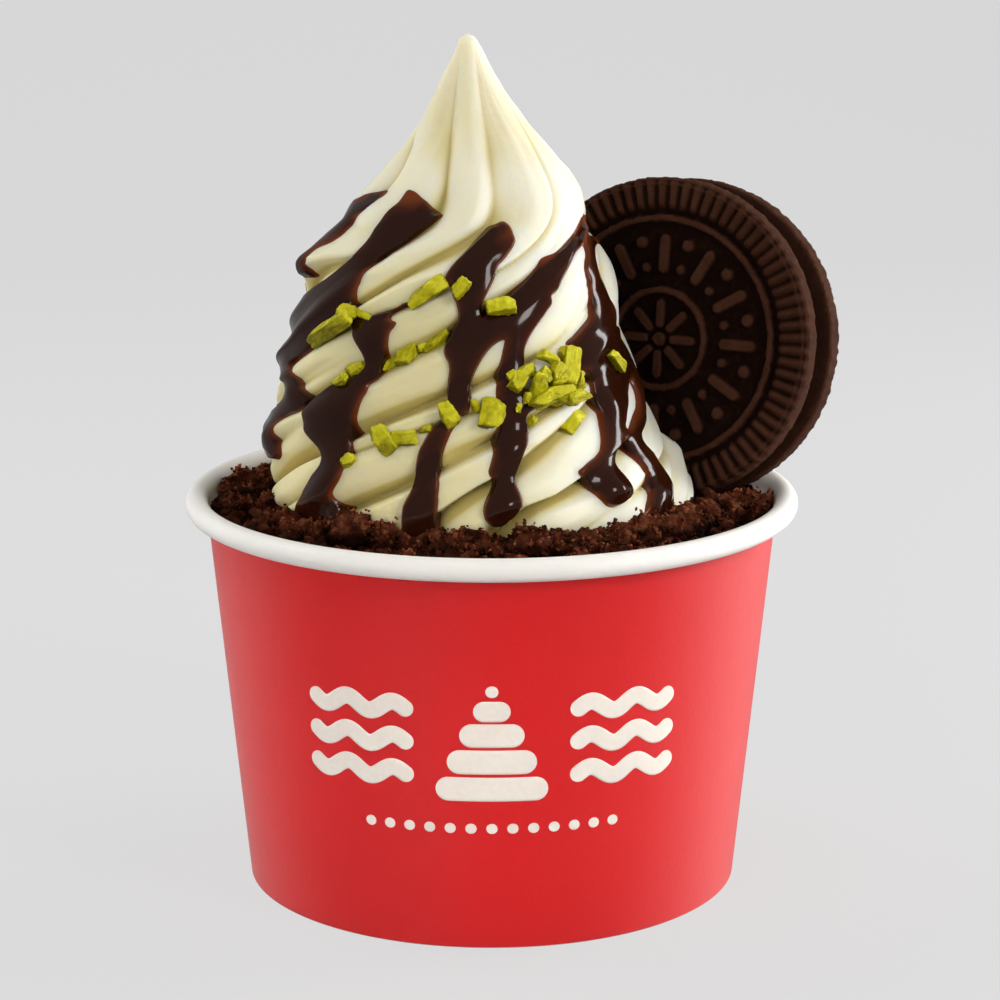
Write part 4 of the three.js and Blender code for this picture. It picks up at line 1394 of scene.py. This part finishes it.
# Clumps: (pixel across and down of the top, height of the top, size in millimetres)
CLUMPS = [
    (214, 497, 59.6, 5.0), (228, 480, 61.2, 5.5), (243, 470, 62.6, 6.5), (266, 464, 62.6, 5.5),
    (254, 482, 60.5, 4.5), (276, 492, 62.8, 7.0), (250, 500, 60.4, 6.0), (290, 508, 63.0, 6.5),
    (232, 510, 59.6, 5.0), (308, 520, 61.8, 5.5), (330, 520, 62.6, 6.0), (354, 512, 65.0, 6.5),
    (385, 522, 63.8, 5.5), (407, 530, 62.6, 5.0), (437, 529, 63.2, 5.5), (466, 529, 63.6, 6.0),
    (498, 538, 62.0, 5.5), (529, 526, 64.2, 6.5), (563, 529, 63.2, 6.0), (587, 530, 62.8, 5.0),
    (605, 527, 62.8, 5.0), (627, 524, 63.6, 6.0), (648, 516, 64.2, 6.5), (668, 512, 64.4, 6.0),
    (684, 506, 64.4, 6.0), (702, 500, 63.6, 6.0), (722, 496, 63.0, 6.5), (742, 492, 62.6, 6.0),
    (760, 494, 61.4, 6.0), (748, 504, 60.8, 5.0), (716, 510, 61.6, 5.0), (290, 528, 60.4, 5.0),
    (352, 533, 60.6, 5.0), (690, 520, 60.8, 5.0),
]
# Clumps on the far side: (angle, radius, height of the top, size)
BACK_CLUMPS = [
    (150, 39.5, 61.5, 6.0), (138, 37.5, 62.5, 6.5), (126, 40.0, 61.0, 5.5), (112, 38.0, 62.4, 6.0),
    (99, 37.2, 62.8, 6.5), (86, 39.5, 61.2, 5.5), (73, 37.5, 62.6, 6.0), (61, 39.0, 61.8, 5.5),
    (50, 38.0, 62.5, 6.0), (39, 39.5, 61.3, 5.5),
]
CLUMP_GRAINS = 190       # grains on a clump of 6 mm
CLUMP_SHAPE = (1.15, 1.15, 0.95)
LUMP_COUNT = 95          # smaller clumps between them
CLOD_COUNT = 1500        # loose crumbs of about a millimetre
GRAIN_COUNT = 9900       # and of a quarter of one
GRAIN_LIMIT = 8900       # most grains on the clumps of a piece
GRAIN_FORMS = 24
CLOD_FORMS = 16
BED_TONE = 0.03          # 0 for the darkest crumb, 1 for the lightest; the bed between the clumps is painted shade


def crumb_level(x, y):
    """Height of the crumbs' surface: lumps of a few millimetres with finer ones on them."""
    radius = np.hypot(x, y)
    near = 1 - smoothstep(radius, CRUMB_HIGH_RADIUS, CRUMB_LOW_RADIUS)
    spots = np.stack([x, y, np.zeros_like(x)], axis=-1)
    lumps = 1 - np.abs(layered_noise(spots / 4.6 + 30, 2, seed=21)) * 1.6
    fine = layered_noise(spots / 1.1 + 70, 3, seed=31)
    behind = 1 - np.clip(-y / RIM_RADIUS, 0, 1)
    level = CRUMB_LOW_Z - 0.5 + behind * 0.3 * (1 - near) + CRUMB_RISE * near
    return level + 0.9 * lumps + 0.42 * fine


def crumb_material():
    crumb = Shader("chocolate_crumbs", Roughness=0.9, Specular_IOR_Level=0.05)
    patch = crumb.noise(1.7, 3.0, 0.65)
    fine = crumb.noise(0.24, 3.0, 0.75)
    brown = crumb.ramp(
        patch,
        (0.3, shade(92, 40, 21)),
        (0.5, shade(138, 72, 46)),
        (0.72, shade(188, 118, 86)),
    )
    # Painted light and shade: low tones go to near black and higher ones to the brown, through a random
    # cloud.
    cloud = crumb.maths("SUBTRACT", crumb.noise(3.0, 1.0), 0.36)
    cloud = crumb.maths("ADD", crumb.maths("MULTIPLY", cloud, 4.5, clamp=True), 0.22)
    light = crumb.maths("MULTIPLY", crumb.attribute("tone_and_painted_light"), cloud)
    brown = crumb.mix(light, shade(11, 2, 0), brown)
    crumb.colour(crumb.mix(crumb.scaled(fine, 0.45), brown, shade(30, 10, 5)))
    crumb.normal(crumb.bump(fine, 0.16))
    return crumb.material


def make_crumb_bed(material):
    angle = np.arange(CRUMB_COLUMNS) / CRUMB_COLUMNS * 2 * np.pi
    outer = inner_wall(CRUMB_EDGE_Z, CRUMB_GAP)
    top = polar(np.linspace(outer, CRUMB_INNER_RADIUS, CRUMB_ROWS)[:, None], angle, 0.0)
    top[..., 2] = crumb_level(top[..., 0].ravel(), top[..., 1].ravel()).reshape(top.shape[:2])
    bottom = polar(inner_wall(CRUMB_FLOOR_Z, CRUMB_GAP), angle, CRUMB_FLOOR_Z)
    inner = polar(CRUMB_INNER_RADIUS, angle, CRUMB_FLOOR_Z)
    rows = np.concatenate([inner[None], bottom[None], top])
    faces = wrap_faces(len(rows) + 1, CRUMB_COLUMNS) % (len(rows) * CRUMB_COLUMNS)
    mesh = make_mesh("crumb_core", rows.reshape(-1, 3), [faces])
    mesh.shade_flat()
    add_values(mesh, "tone_and_painted_light", np.full(len(mesh.vertices), BED_TONE))
    make_piece("crumb_core", mesh, [material], ["crumb_bed"])


def crumb_spots(count, inner, outer):
    """Random places on the ring, with their surface heights."""
    radius = np.sqrt(rng.uniform(inner**2, outer**2, count))
    angle = rng.uniform(0, 2 * np.pi, count)
    x, y = radius * np.cos(angle), radius * np.sin(angle)
    return np.stack([x, y, crumb_level(x, y)], axis=-1)


def clump_places():
    """Centre and size of every clump of CLUMPS and BACK_CLUMPS."""
    clumps = []
    for across, down, top, size in CLUMPS:
        ray = pixel_ray(across, down)
        spot = EYE + ray * (top - EYE[2]) / ray[2]
        radius = math.hypot(spot[0], spot[1])
        spot[:2] *= min(1.0, inner_wall(top, 0.3 * size) / radius)
        clumps.append((spot - np.array([0, 0, size / 2]), size))
    for angle, radius, top, size in BACK_CLUMPS:
        clumps.append((polar(radius, math.radians(angle), top - size / 2), size))
    return clumps


def ragged(directions, seed, depth):
    """Radius in each direction of a torn lump with knobs and pits."""
    knobs = 1 - 2 * np.abs(lattice_noise(directions * 1.6 + 7 * seed, seed))
    fine = 1 - 2 * np.abs(lattice_noise(directions * 4.1 + 7 * seed, seed + 1))
    finest = lattice_noise(directions * 9.0 + 7 * seed, seed + 2)
    return 1 + depth * (0.55 * knobs + 0.4 * fine + 0.3 * finest)


def make_clumps(name, places, grain_forms, material):
    """Torn clumps of crumb with grains all over them."""
    directions, ball_faces = icosphere(3)
    cores, faces, centres, sizes, core_tones, tones = [], [], [], [], [], []
    for seed, (centre, size) in enumerate(places):
        body = directions * (ragged(directions, seed, 0.5) * size * 0.42)[:, None] * np.array(CLUMP_SHAPE)
        placed = body + centre
        keep_in_cup(placed, CRUMB_GAP)
        faces.append(ball_faces + len(directions) * seed)
        cores.append(placed)
        # Painted light: each clump is coloured lighter towards its top and darker low down, and its grains
        # take that tone times a random one.
        height = smoothstep(body[:, 2] / size, -0.15, 0.5)
        core_tones.append(0.4 * height)
        count = int(CLUMP_GRAINS * (size / 6) ** 2) + 12
        at = rng.integers(len(directions), size=3 * count)
        at = at[directions[at, 2] > -0.35][:count]
        offset = rng.normal(size=(len(at), 3)) * 0.045 * size
        centres.append(placed[at] + offset)
        sizes.append(rng.uniform(0.12, 0.36, len(at)))
        tones.append(height[at])
    centres, sizes, tones = [np.concatenate(values)[:GRAIN_LIMIT] for values in (centres, sizes, tones)]
    inside = np.hypot(centres[:, 0], centres[:, 1]) + sizes < inner_wall(centres[:, 2])
    points, grain_faces = scattered(grain_forms, centres[inside], sizes[inside], 1.0)
    core_points = np.vstack(cores)
    all_faces = np.vstack([*faces, grain_faces + len(core_points)])
    mesh = make_mesh(name, np.vstack([core_points, points]), [all_faces])
    mesh.shade_flat()
    grain_tones = tones[inside] * rng.uniform(0.2, 1.5, int(inside.sum()))
    shades = np.repeat(grain_tones, len(grain_forms[0][0]))
    add_values(mesh, "tone_and_painted_light", np.clip(np.concatenate([*core_tones, shades]), 0, 1))
    make_piece(name, mesh, [material])


def scattered(forms, spots, sizes, sink):
    """Points and faces of many lumps, each a random one of the forms, turned and scaled. At a
    sink of 1 a lump's middle lies on its spot."""
    corner_count = len(forms[0][0])
    points = np.empty((len(spots), corner_count, 3))
    faces = np.empty((len(spots), *forms[0][1].shape), int)
    for index, (spot, size) in enumerate(zip(spots, sizes)):
        form, form_faces = forms[int(rng.integers(len(forms)))]
        turn = np.array(Euler(rng.uniform(0, 2 * math.pi, 3)).to_matrix())
        stretch = rng.uniform(0.6, 1.5, 3)
        points[index] = (form * stretch) @ turn.T * size + spot + np.array([0, 0, size * (1 - sink)])
        faces[index] = form_faces + index * corner_count
    return points.reshape(-1, 3), faces.reshape(-1, 3)


def make_loose(name, forms, spots, sizes, sink, tones, material):
    """One mesh of loose pieces of one kind, kept inside the cup."""
    points, faces = scattered(forms, spots, sizes, sink)
    keep_in_cup(points, 0.5 * CRUMB_GAP)
    mesh = make_mesh(name, points, [faces])
    mesh.shade_flat()
    add_values(mesh, "tone_and_painted_light", np.repeat(tones, len(forms[0][0])))
    make_piece(name, mesh, [material])


def make_crumbs():
    material = crumb_material()
    make_crumb_bed(material)
    directions, faces = icosphere(1)
    grains = []
    for _ in range(GRAIN_FORMS):
        grains.append((directions * rng.uniform(0.5, 1.45, len(directions))[:, None], faces))
    make_clumps("crumb_clumps", clump_places(), grains, material)
    inner, outer = CRUMB_RING
    lump_spots = crumb_spots(LUMP_COUNT, inner + 1.5, outer - 1.2)
    lump_sizes = rng.uniform(2.2, 4.4, LUMP_COUNT)
    lumps = [(spot + np.array([0, 0, 0.1 * size]), size) for spot, size in zip(lump_spots, lump_sizes)]
    make_clumps("crumb_lumps", lumps, grains, material)
    directions, faces = icosphere(2)
    clods = []
    for seed in range(CLOD_FORMS):
        clods.append((directions * ragged(directions, seed + 60, 0.6)[:, None], faces))
    clod_spots = crumb_spots(CLOD_COUNT, inner, outer - 0.4)
    clod_sizes = 0.35 + 0.8 * rng.uniform(0, 1, CLOD_COUNT) ** 2
    clod_tones = rng.uniform(0.0, 0.34, CLOD_COUNT)
    make_loose("crumb_clods", clods, clod_spots, clod_sizes, 0.75, clod_tones, material)
    on_bed = crumb_spots(GRAIN_COUNT // 2, inner, outer)
    way = rng.normal(size=(GRAIN_COUNT - len(on_bed), 3))
    way /= np.linalg.norm(way, axis=1, keepdims=True)
    way[:, 2] = np.abs(way[:, 2])
    host = rng.integers(CLOD_COUNT, size=len(way))
    middle = clod_spots[host] + np.array([0, 0, 0.25]) * clod_sizes[host][:, None]
    on_clods = middle + way * (0.9 * clod_sizes[host])[:, None]
    spots = np.vstack([on_bed, on_clods])
    tones = np.concatenate([rng.uniform(0.0, 0.3, len(on_bed)), 1.3 * clod_tones[host]])
    make_loose("crumb_grains", grains, spots, rng.uniform(0.12, 0.32, len(spots)), 0.7, tones, material)


# ---------------------------------------------------------------- sandwich cookie

COOKIE_CENTRE = np.array([28.8, 11.7, 83.7])
COOKIE_YAW = math.radians(27.6)
COOKIE_LEAN = math.radians(8.0)
COOKIE_RADIUS = 25.4
WAFER_THICKNESS = 4.3
FILLING_THICKNESS = 3.2
FILLING_RADIUS = 23.0
FILLING_BULGE = 0.8
FILLING_COLUMNS = 240
WAFER_GAP = 0.3          # of filling that runs out under each wafer
WAFER_INNER = FILLING_THICKNESS / 2 + WAFER_GAP   # from the cookie's middle to a wafer
INNER_BEND = 0.5         # radius of the wafer's edge at its inner face
OUTER_BEND = 1.2         # and at its moulded face, where it is a little deeper than wide
OUTER_BEND_DEPTH = 1.5
FLUTE_COUNT = 74
FLUTE_INNER = 20.9
FLUTE_OUTER = 25.2
FLUTE_DEPTH = 0.65       # of the grooves between the flutes, over the rounded edge
PANEL_DEPTH = 1.05
BACK_SHIFT = 0.9         # how far the back wafer sits to the side
RELIEF_HEIGHT = 0.6
FACE_TONE, INSIDE_TONE, EDGE_TONE = 0.75, 0.55, 0.85   # of the flutes, the inner face and the edge; partly wear, partly painted highlight
WAFER_COLUMNS = 888
WAFER_ROWS = 150


def cookie_turn():
    """Rotation from the cookie's own frame, whose z leaves its front face, to where it stands."""
    lean = np.array(Euler((math.pi / 2 - COOKIE_LEAN, 0, 0)).to_matrix())
    return np.array(Matrix.Rotation(-COOKIE_YAW, 3, "Z")) @ lean


def in_cookie(points):
    return (points - COOKIE_CENTRE) @ cookie_turn()


def out_of_cookie(points):
    return points @ cookie_turn().T + COOKIE_CENTRE


def soft_ring(radius, centre, half_width, edge=0.4):
    return smoothstep(half_width - np.abs(radius - centre), -edge / 2, edge / 2)


def bar(radius, turn, count, centre, half_long, half_wide, phase=0.0, edge=0.22):
    """Round-ended bars that point outward, evenly round the face."""
    step = 2 * np.pi / count
    across = (((turn + phase + step / 2) % step) - step / 2) * radius
    beyond = np.maximum(np.abs(radius - centre) - (half_long - half_wide), 0)
    return smoothstep(half_wide - np.hypot(beyond, across), -edge, edge)


def flute(turn):
    """1 on the ridges round the wafer's edge, 0 in the grooves between them."""
    return (0.5 + 0.5 * np.cos(FLUTE_COUNT * turn)) ** 0.85


def wafer_relief(radius, turn):
    """Height of the moulded face over its panel: flutes at the rim round plain rings, bars,
    dots and a star."""
    in_band = smoothstep(radius, FLUTE_INNER - 0.7, FLUTE_INNER + 0.4)
    rim = smoothstep(radius, FLUTE_OUTER - 1.2, FLUTE_OUTER)
    groove = PANEL_DEPTH * 0.9 * (1 - rim) + FLUTE_DEPTH * rim
    ridge = in_band * (PANEL_DEPTH - groove * (1 - flute(turn)))
    ring = soft_ring(radius, 19.0, 0.5) + soft_ring(radius, 7.7, 0.5)
    bars = bar(radius, turn, 12, 13.4, 3.0, 0.85)
    dots = bar(radius, turn, 12, 15.4, 0.95, 0.95, math.pi / 12)
    low_dots = bar(radius, turn, 12, 11.4, 0.7, 0.7, math.pi / 12)
    star = bar(radius, turn, 8, 4.0, 2.2, 0.7)
    button = smoothstep(1.1 - radius, -0.15, 0.2)
    return ridge + RELIEF_HEIGHT * np.clip(ring + bars + dots + low_dots + star + button, 0, 1)


def wafer_points():
    """Rows of points from the middle of the inner face, round the edge, to the moulded face."""
    turn = np.arange(WAFER_COLUMNS) / WAFER_COLUMNS * 2 * np.pi
    panel = WAFER_THICKNESS - PANEL_DEPTH
    rows = []
    for radius in np.linspace(2.0, COOKIE_RADIUS - 0.9, 8):
        rows.append((radius, 0.0, False))
    bend_z = WAFER_THICKNESS - OUTER_BEND_DEPTH
    for wide, deep, middle, angles in (
        (INNER_BEND, INNER_BEND, INNER_BEND, np.linspace(-80, 0, 6)),
        (OUTER_BEND, OUTER_BEND_DEPTH, bend_z, np.linspace(0, 90, 16)),
    ):
        for bend in np.radians(angles):
            rows.append((COOKIE_RADIUS - wide + wide * math.cos(bend), middle + deep * math.sin(bend), False))
    for radius in np.linspace(COOKIE_RADIUS - OUTER_BEND - 0.1, 0.25, WAFER_ROWS):
        rows.append((radius, panel, True))
    grid = np.empty((len(rows), WAFER_COLUMNS, 3))
    for index, (radius, z, moulded) in enumerate(rows):
        reach, relief = radius, 0.0
        if moulded:
            relief = wafer_relief(np.full_like(turn, radius), turn)
        elif z > bend_z:
            climb = (z - bend_z) / OUTER_BEND_DEPTH
            cut = FLUTE_DEPTH * (1 - flute(turn)) * smoothstep(climb, 0.0, 0.9)
            reach = radius - cut * math.sqrt(max(1 - climb**2, 0))
            relief = -cut * climb
        grid[index] = polar(reach, turn, z + relief)
    return grid


def wafer_material():
    wafer = Shader("chocolate_wafer", Roughness=0.78, Specular_IOR_Level=0.05)
    grain = wafer.noise(0.3, 4.0, 0.75)
    coarse = wafer.noise(0.9, 3.0, 0.6)
    patch = wafer.noise(3.0, 3.0)
    # Painted shade makes the grooves and panel dark; the flutes, relief and edge are lighter, partly wear and
    # partly painted highlight.
    low = wafer.mix(patch, shade(15, 5, 2), shade(25, 10, 5))
    wear_and_highlight = wafer.mix(patch, shade(72, 41, 28), shade(104, 66, 49))
    brown = wafer.mix(wafer.attribute("tone_and_painted_light"), low, wear_and_highlight)
    wafer.colour(wafer.mix(wafer.scaled(grain, 0.75), brown, shade(18, 8, 4)))
    wafer.normal(wafer.bump(grain, 0.16, wafer.bump(coarse, 0.14)))
    return wafer.material


def wafer_tones(points, shift):
    """How light each point of a wafer is: the edge most, then what is moulded on its face, and the
    grooves and panel least. That is partly wear and partly painted highlight, and the dark grooves are
    painted shade.
    """
    panel = WAFER_INNER + WAFER_THICKNESS - PANEL_DEPTH
    tone_and_painted_light = np.clip((np.abs(points[:, 2]) - panel) / RELIEF_HEIGHT, 0, 1)
    reach = np.hypot(points[:, 0] - shift, points[:, 1])
    above = np.abs(points[:, 2]) - WAFER_INNER
    outward = smoothstep(above, 0.5 * WAFER_THICKNESS, 0.75 * WAFER_THICKNESS)
    fluted = smoothstep(reach, FLUTE_INNER - 0.7, FLUTE_INNER) * flute(np.arctan2(points[:, 1], points[:, 0]))
    fluted = FACE_TONE * fluted * outward + INSIDE_TONE * (1 - outward)
    edge = smoothstep(reach, COOKIE_RADIUS - 0.7, COOKIE_RADIUS - 0.2)
    return np.maximum(np.maximum(FACE_TONE * tone_and_painted_light, fluted) * (1 - edge), EDGE_TONE * edge)


def make_wafer(name, node, material, front):
    rows = wafer_points()
    grid = rows.reshape(-1, 3)
    jitter = layered_noise(grid / 0.8 + (40 if front else 80), 3, seed=5)
    radial = grid * np.array([1, 1, 0])
    radial /= np.maximum(np.linalg.norm(radial, axis=1, keepdims=True), 1e-6)
    grid = grid + radial * (0.14 * jitter)[:, None] + np.outer(0.04 * jitter, [0, 0, 1])
    ends = [[0, 0, 0], [0, 0, WAFER_THICKNESS - PANEL_DEPTH + 0.5]]
    points = np.vstack([grid, ends]) + np.array([0, 0, WAFER_INNER])
    shift = 0 if front else BACK_SHIFT
    if not front:
        points = points * np.array([1, -1, -1]) + np.array([shift, 0, 0])
    mesh = make_mesh(name, out_of_cookie(points), capped_faces(len(rows), WAFER_COLUMNS))
    add_values(mesh, "tone_and_painted_light", wafer_tones(points, shift))
    make_piece(name, mesh, [material], [node])


def make_filling():
    turn = np.arange(FILLING_COLUMNS) / FILLING_COLUMNS * 2 * np.pi
    half = WAFER_INNER
    rows = [(4.0, -half), (FILLING_RADIUS - 1, -half)]
    for angle in np.linspace(-90, 90, 13):
        bend = math.radians(angle)
        rows.append((FILLING_RADIUS - FILLING_BULGE * (1 - math.cos(bend)), half * math.sin(bend)))
    rows += [(FILLING_RADIUS - 1, half), (4.0, half)]
    grid = np.array([polar(radius, turn, z) for radius, z in rows]).reshape(-1, 3)
    wave = layered_noise(grid / 3.5 + 20, 2, seed=12)
    grid[:, :2] *= (1 + 0.012 * wave)[:, None]
    points = np.vstack([grid, [[0, 0, -half], [0, 0, half]]])
    cream = Shader("cookie_filling", Roughness=0.6)
    grain = cream.noise(0.6, 3.0)
    # Near black brown, as dark as the gap between the wafers.
    cream.colour(cream.mix(grain, shade(30, 16, 11), shade(44, 25, 18)))
    cream.normal(cream.bump(grain, 0.06))
    mesh = make_mesh("dark_filling", out_of_cookie(points), capped_faces(len(rows), FILLING_COLUMNS))
    make_piece("dark_filling", mesh, [cream.material], ["cookie_filling"])


# ---------------------------------------------------------------- the whole

make_camera()
make_studio()
make_cup()
make_print()
make_yogurt()
make_nuts(make_sauce())
make_crumbs()
wafer_finish = wafer_material()
make_wafer("front_wafer", "cookie_wafer_front", wafer_finish, front=True)
make_wafer("back_wafer", "cookie_wafer_back", wafer_finish, front=False)
make_filling()
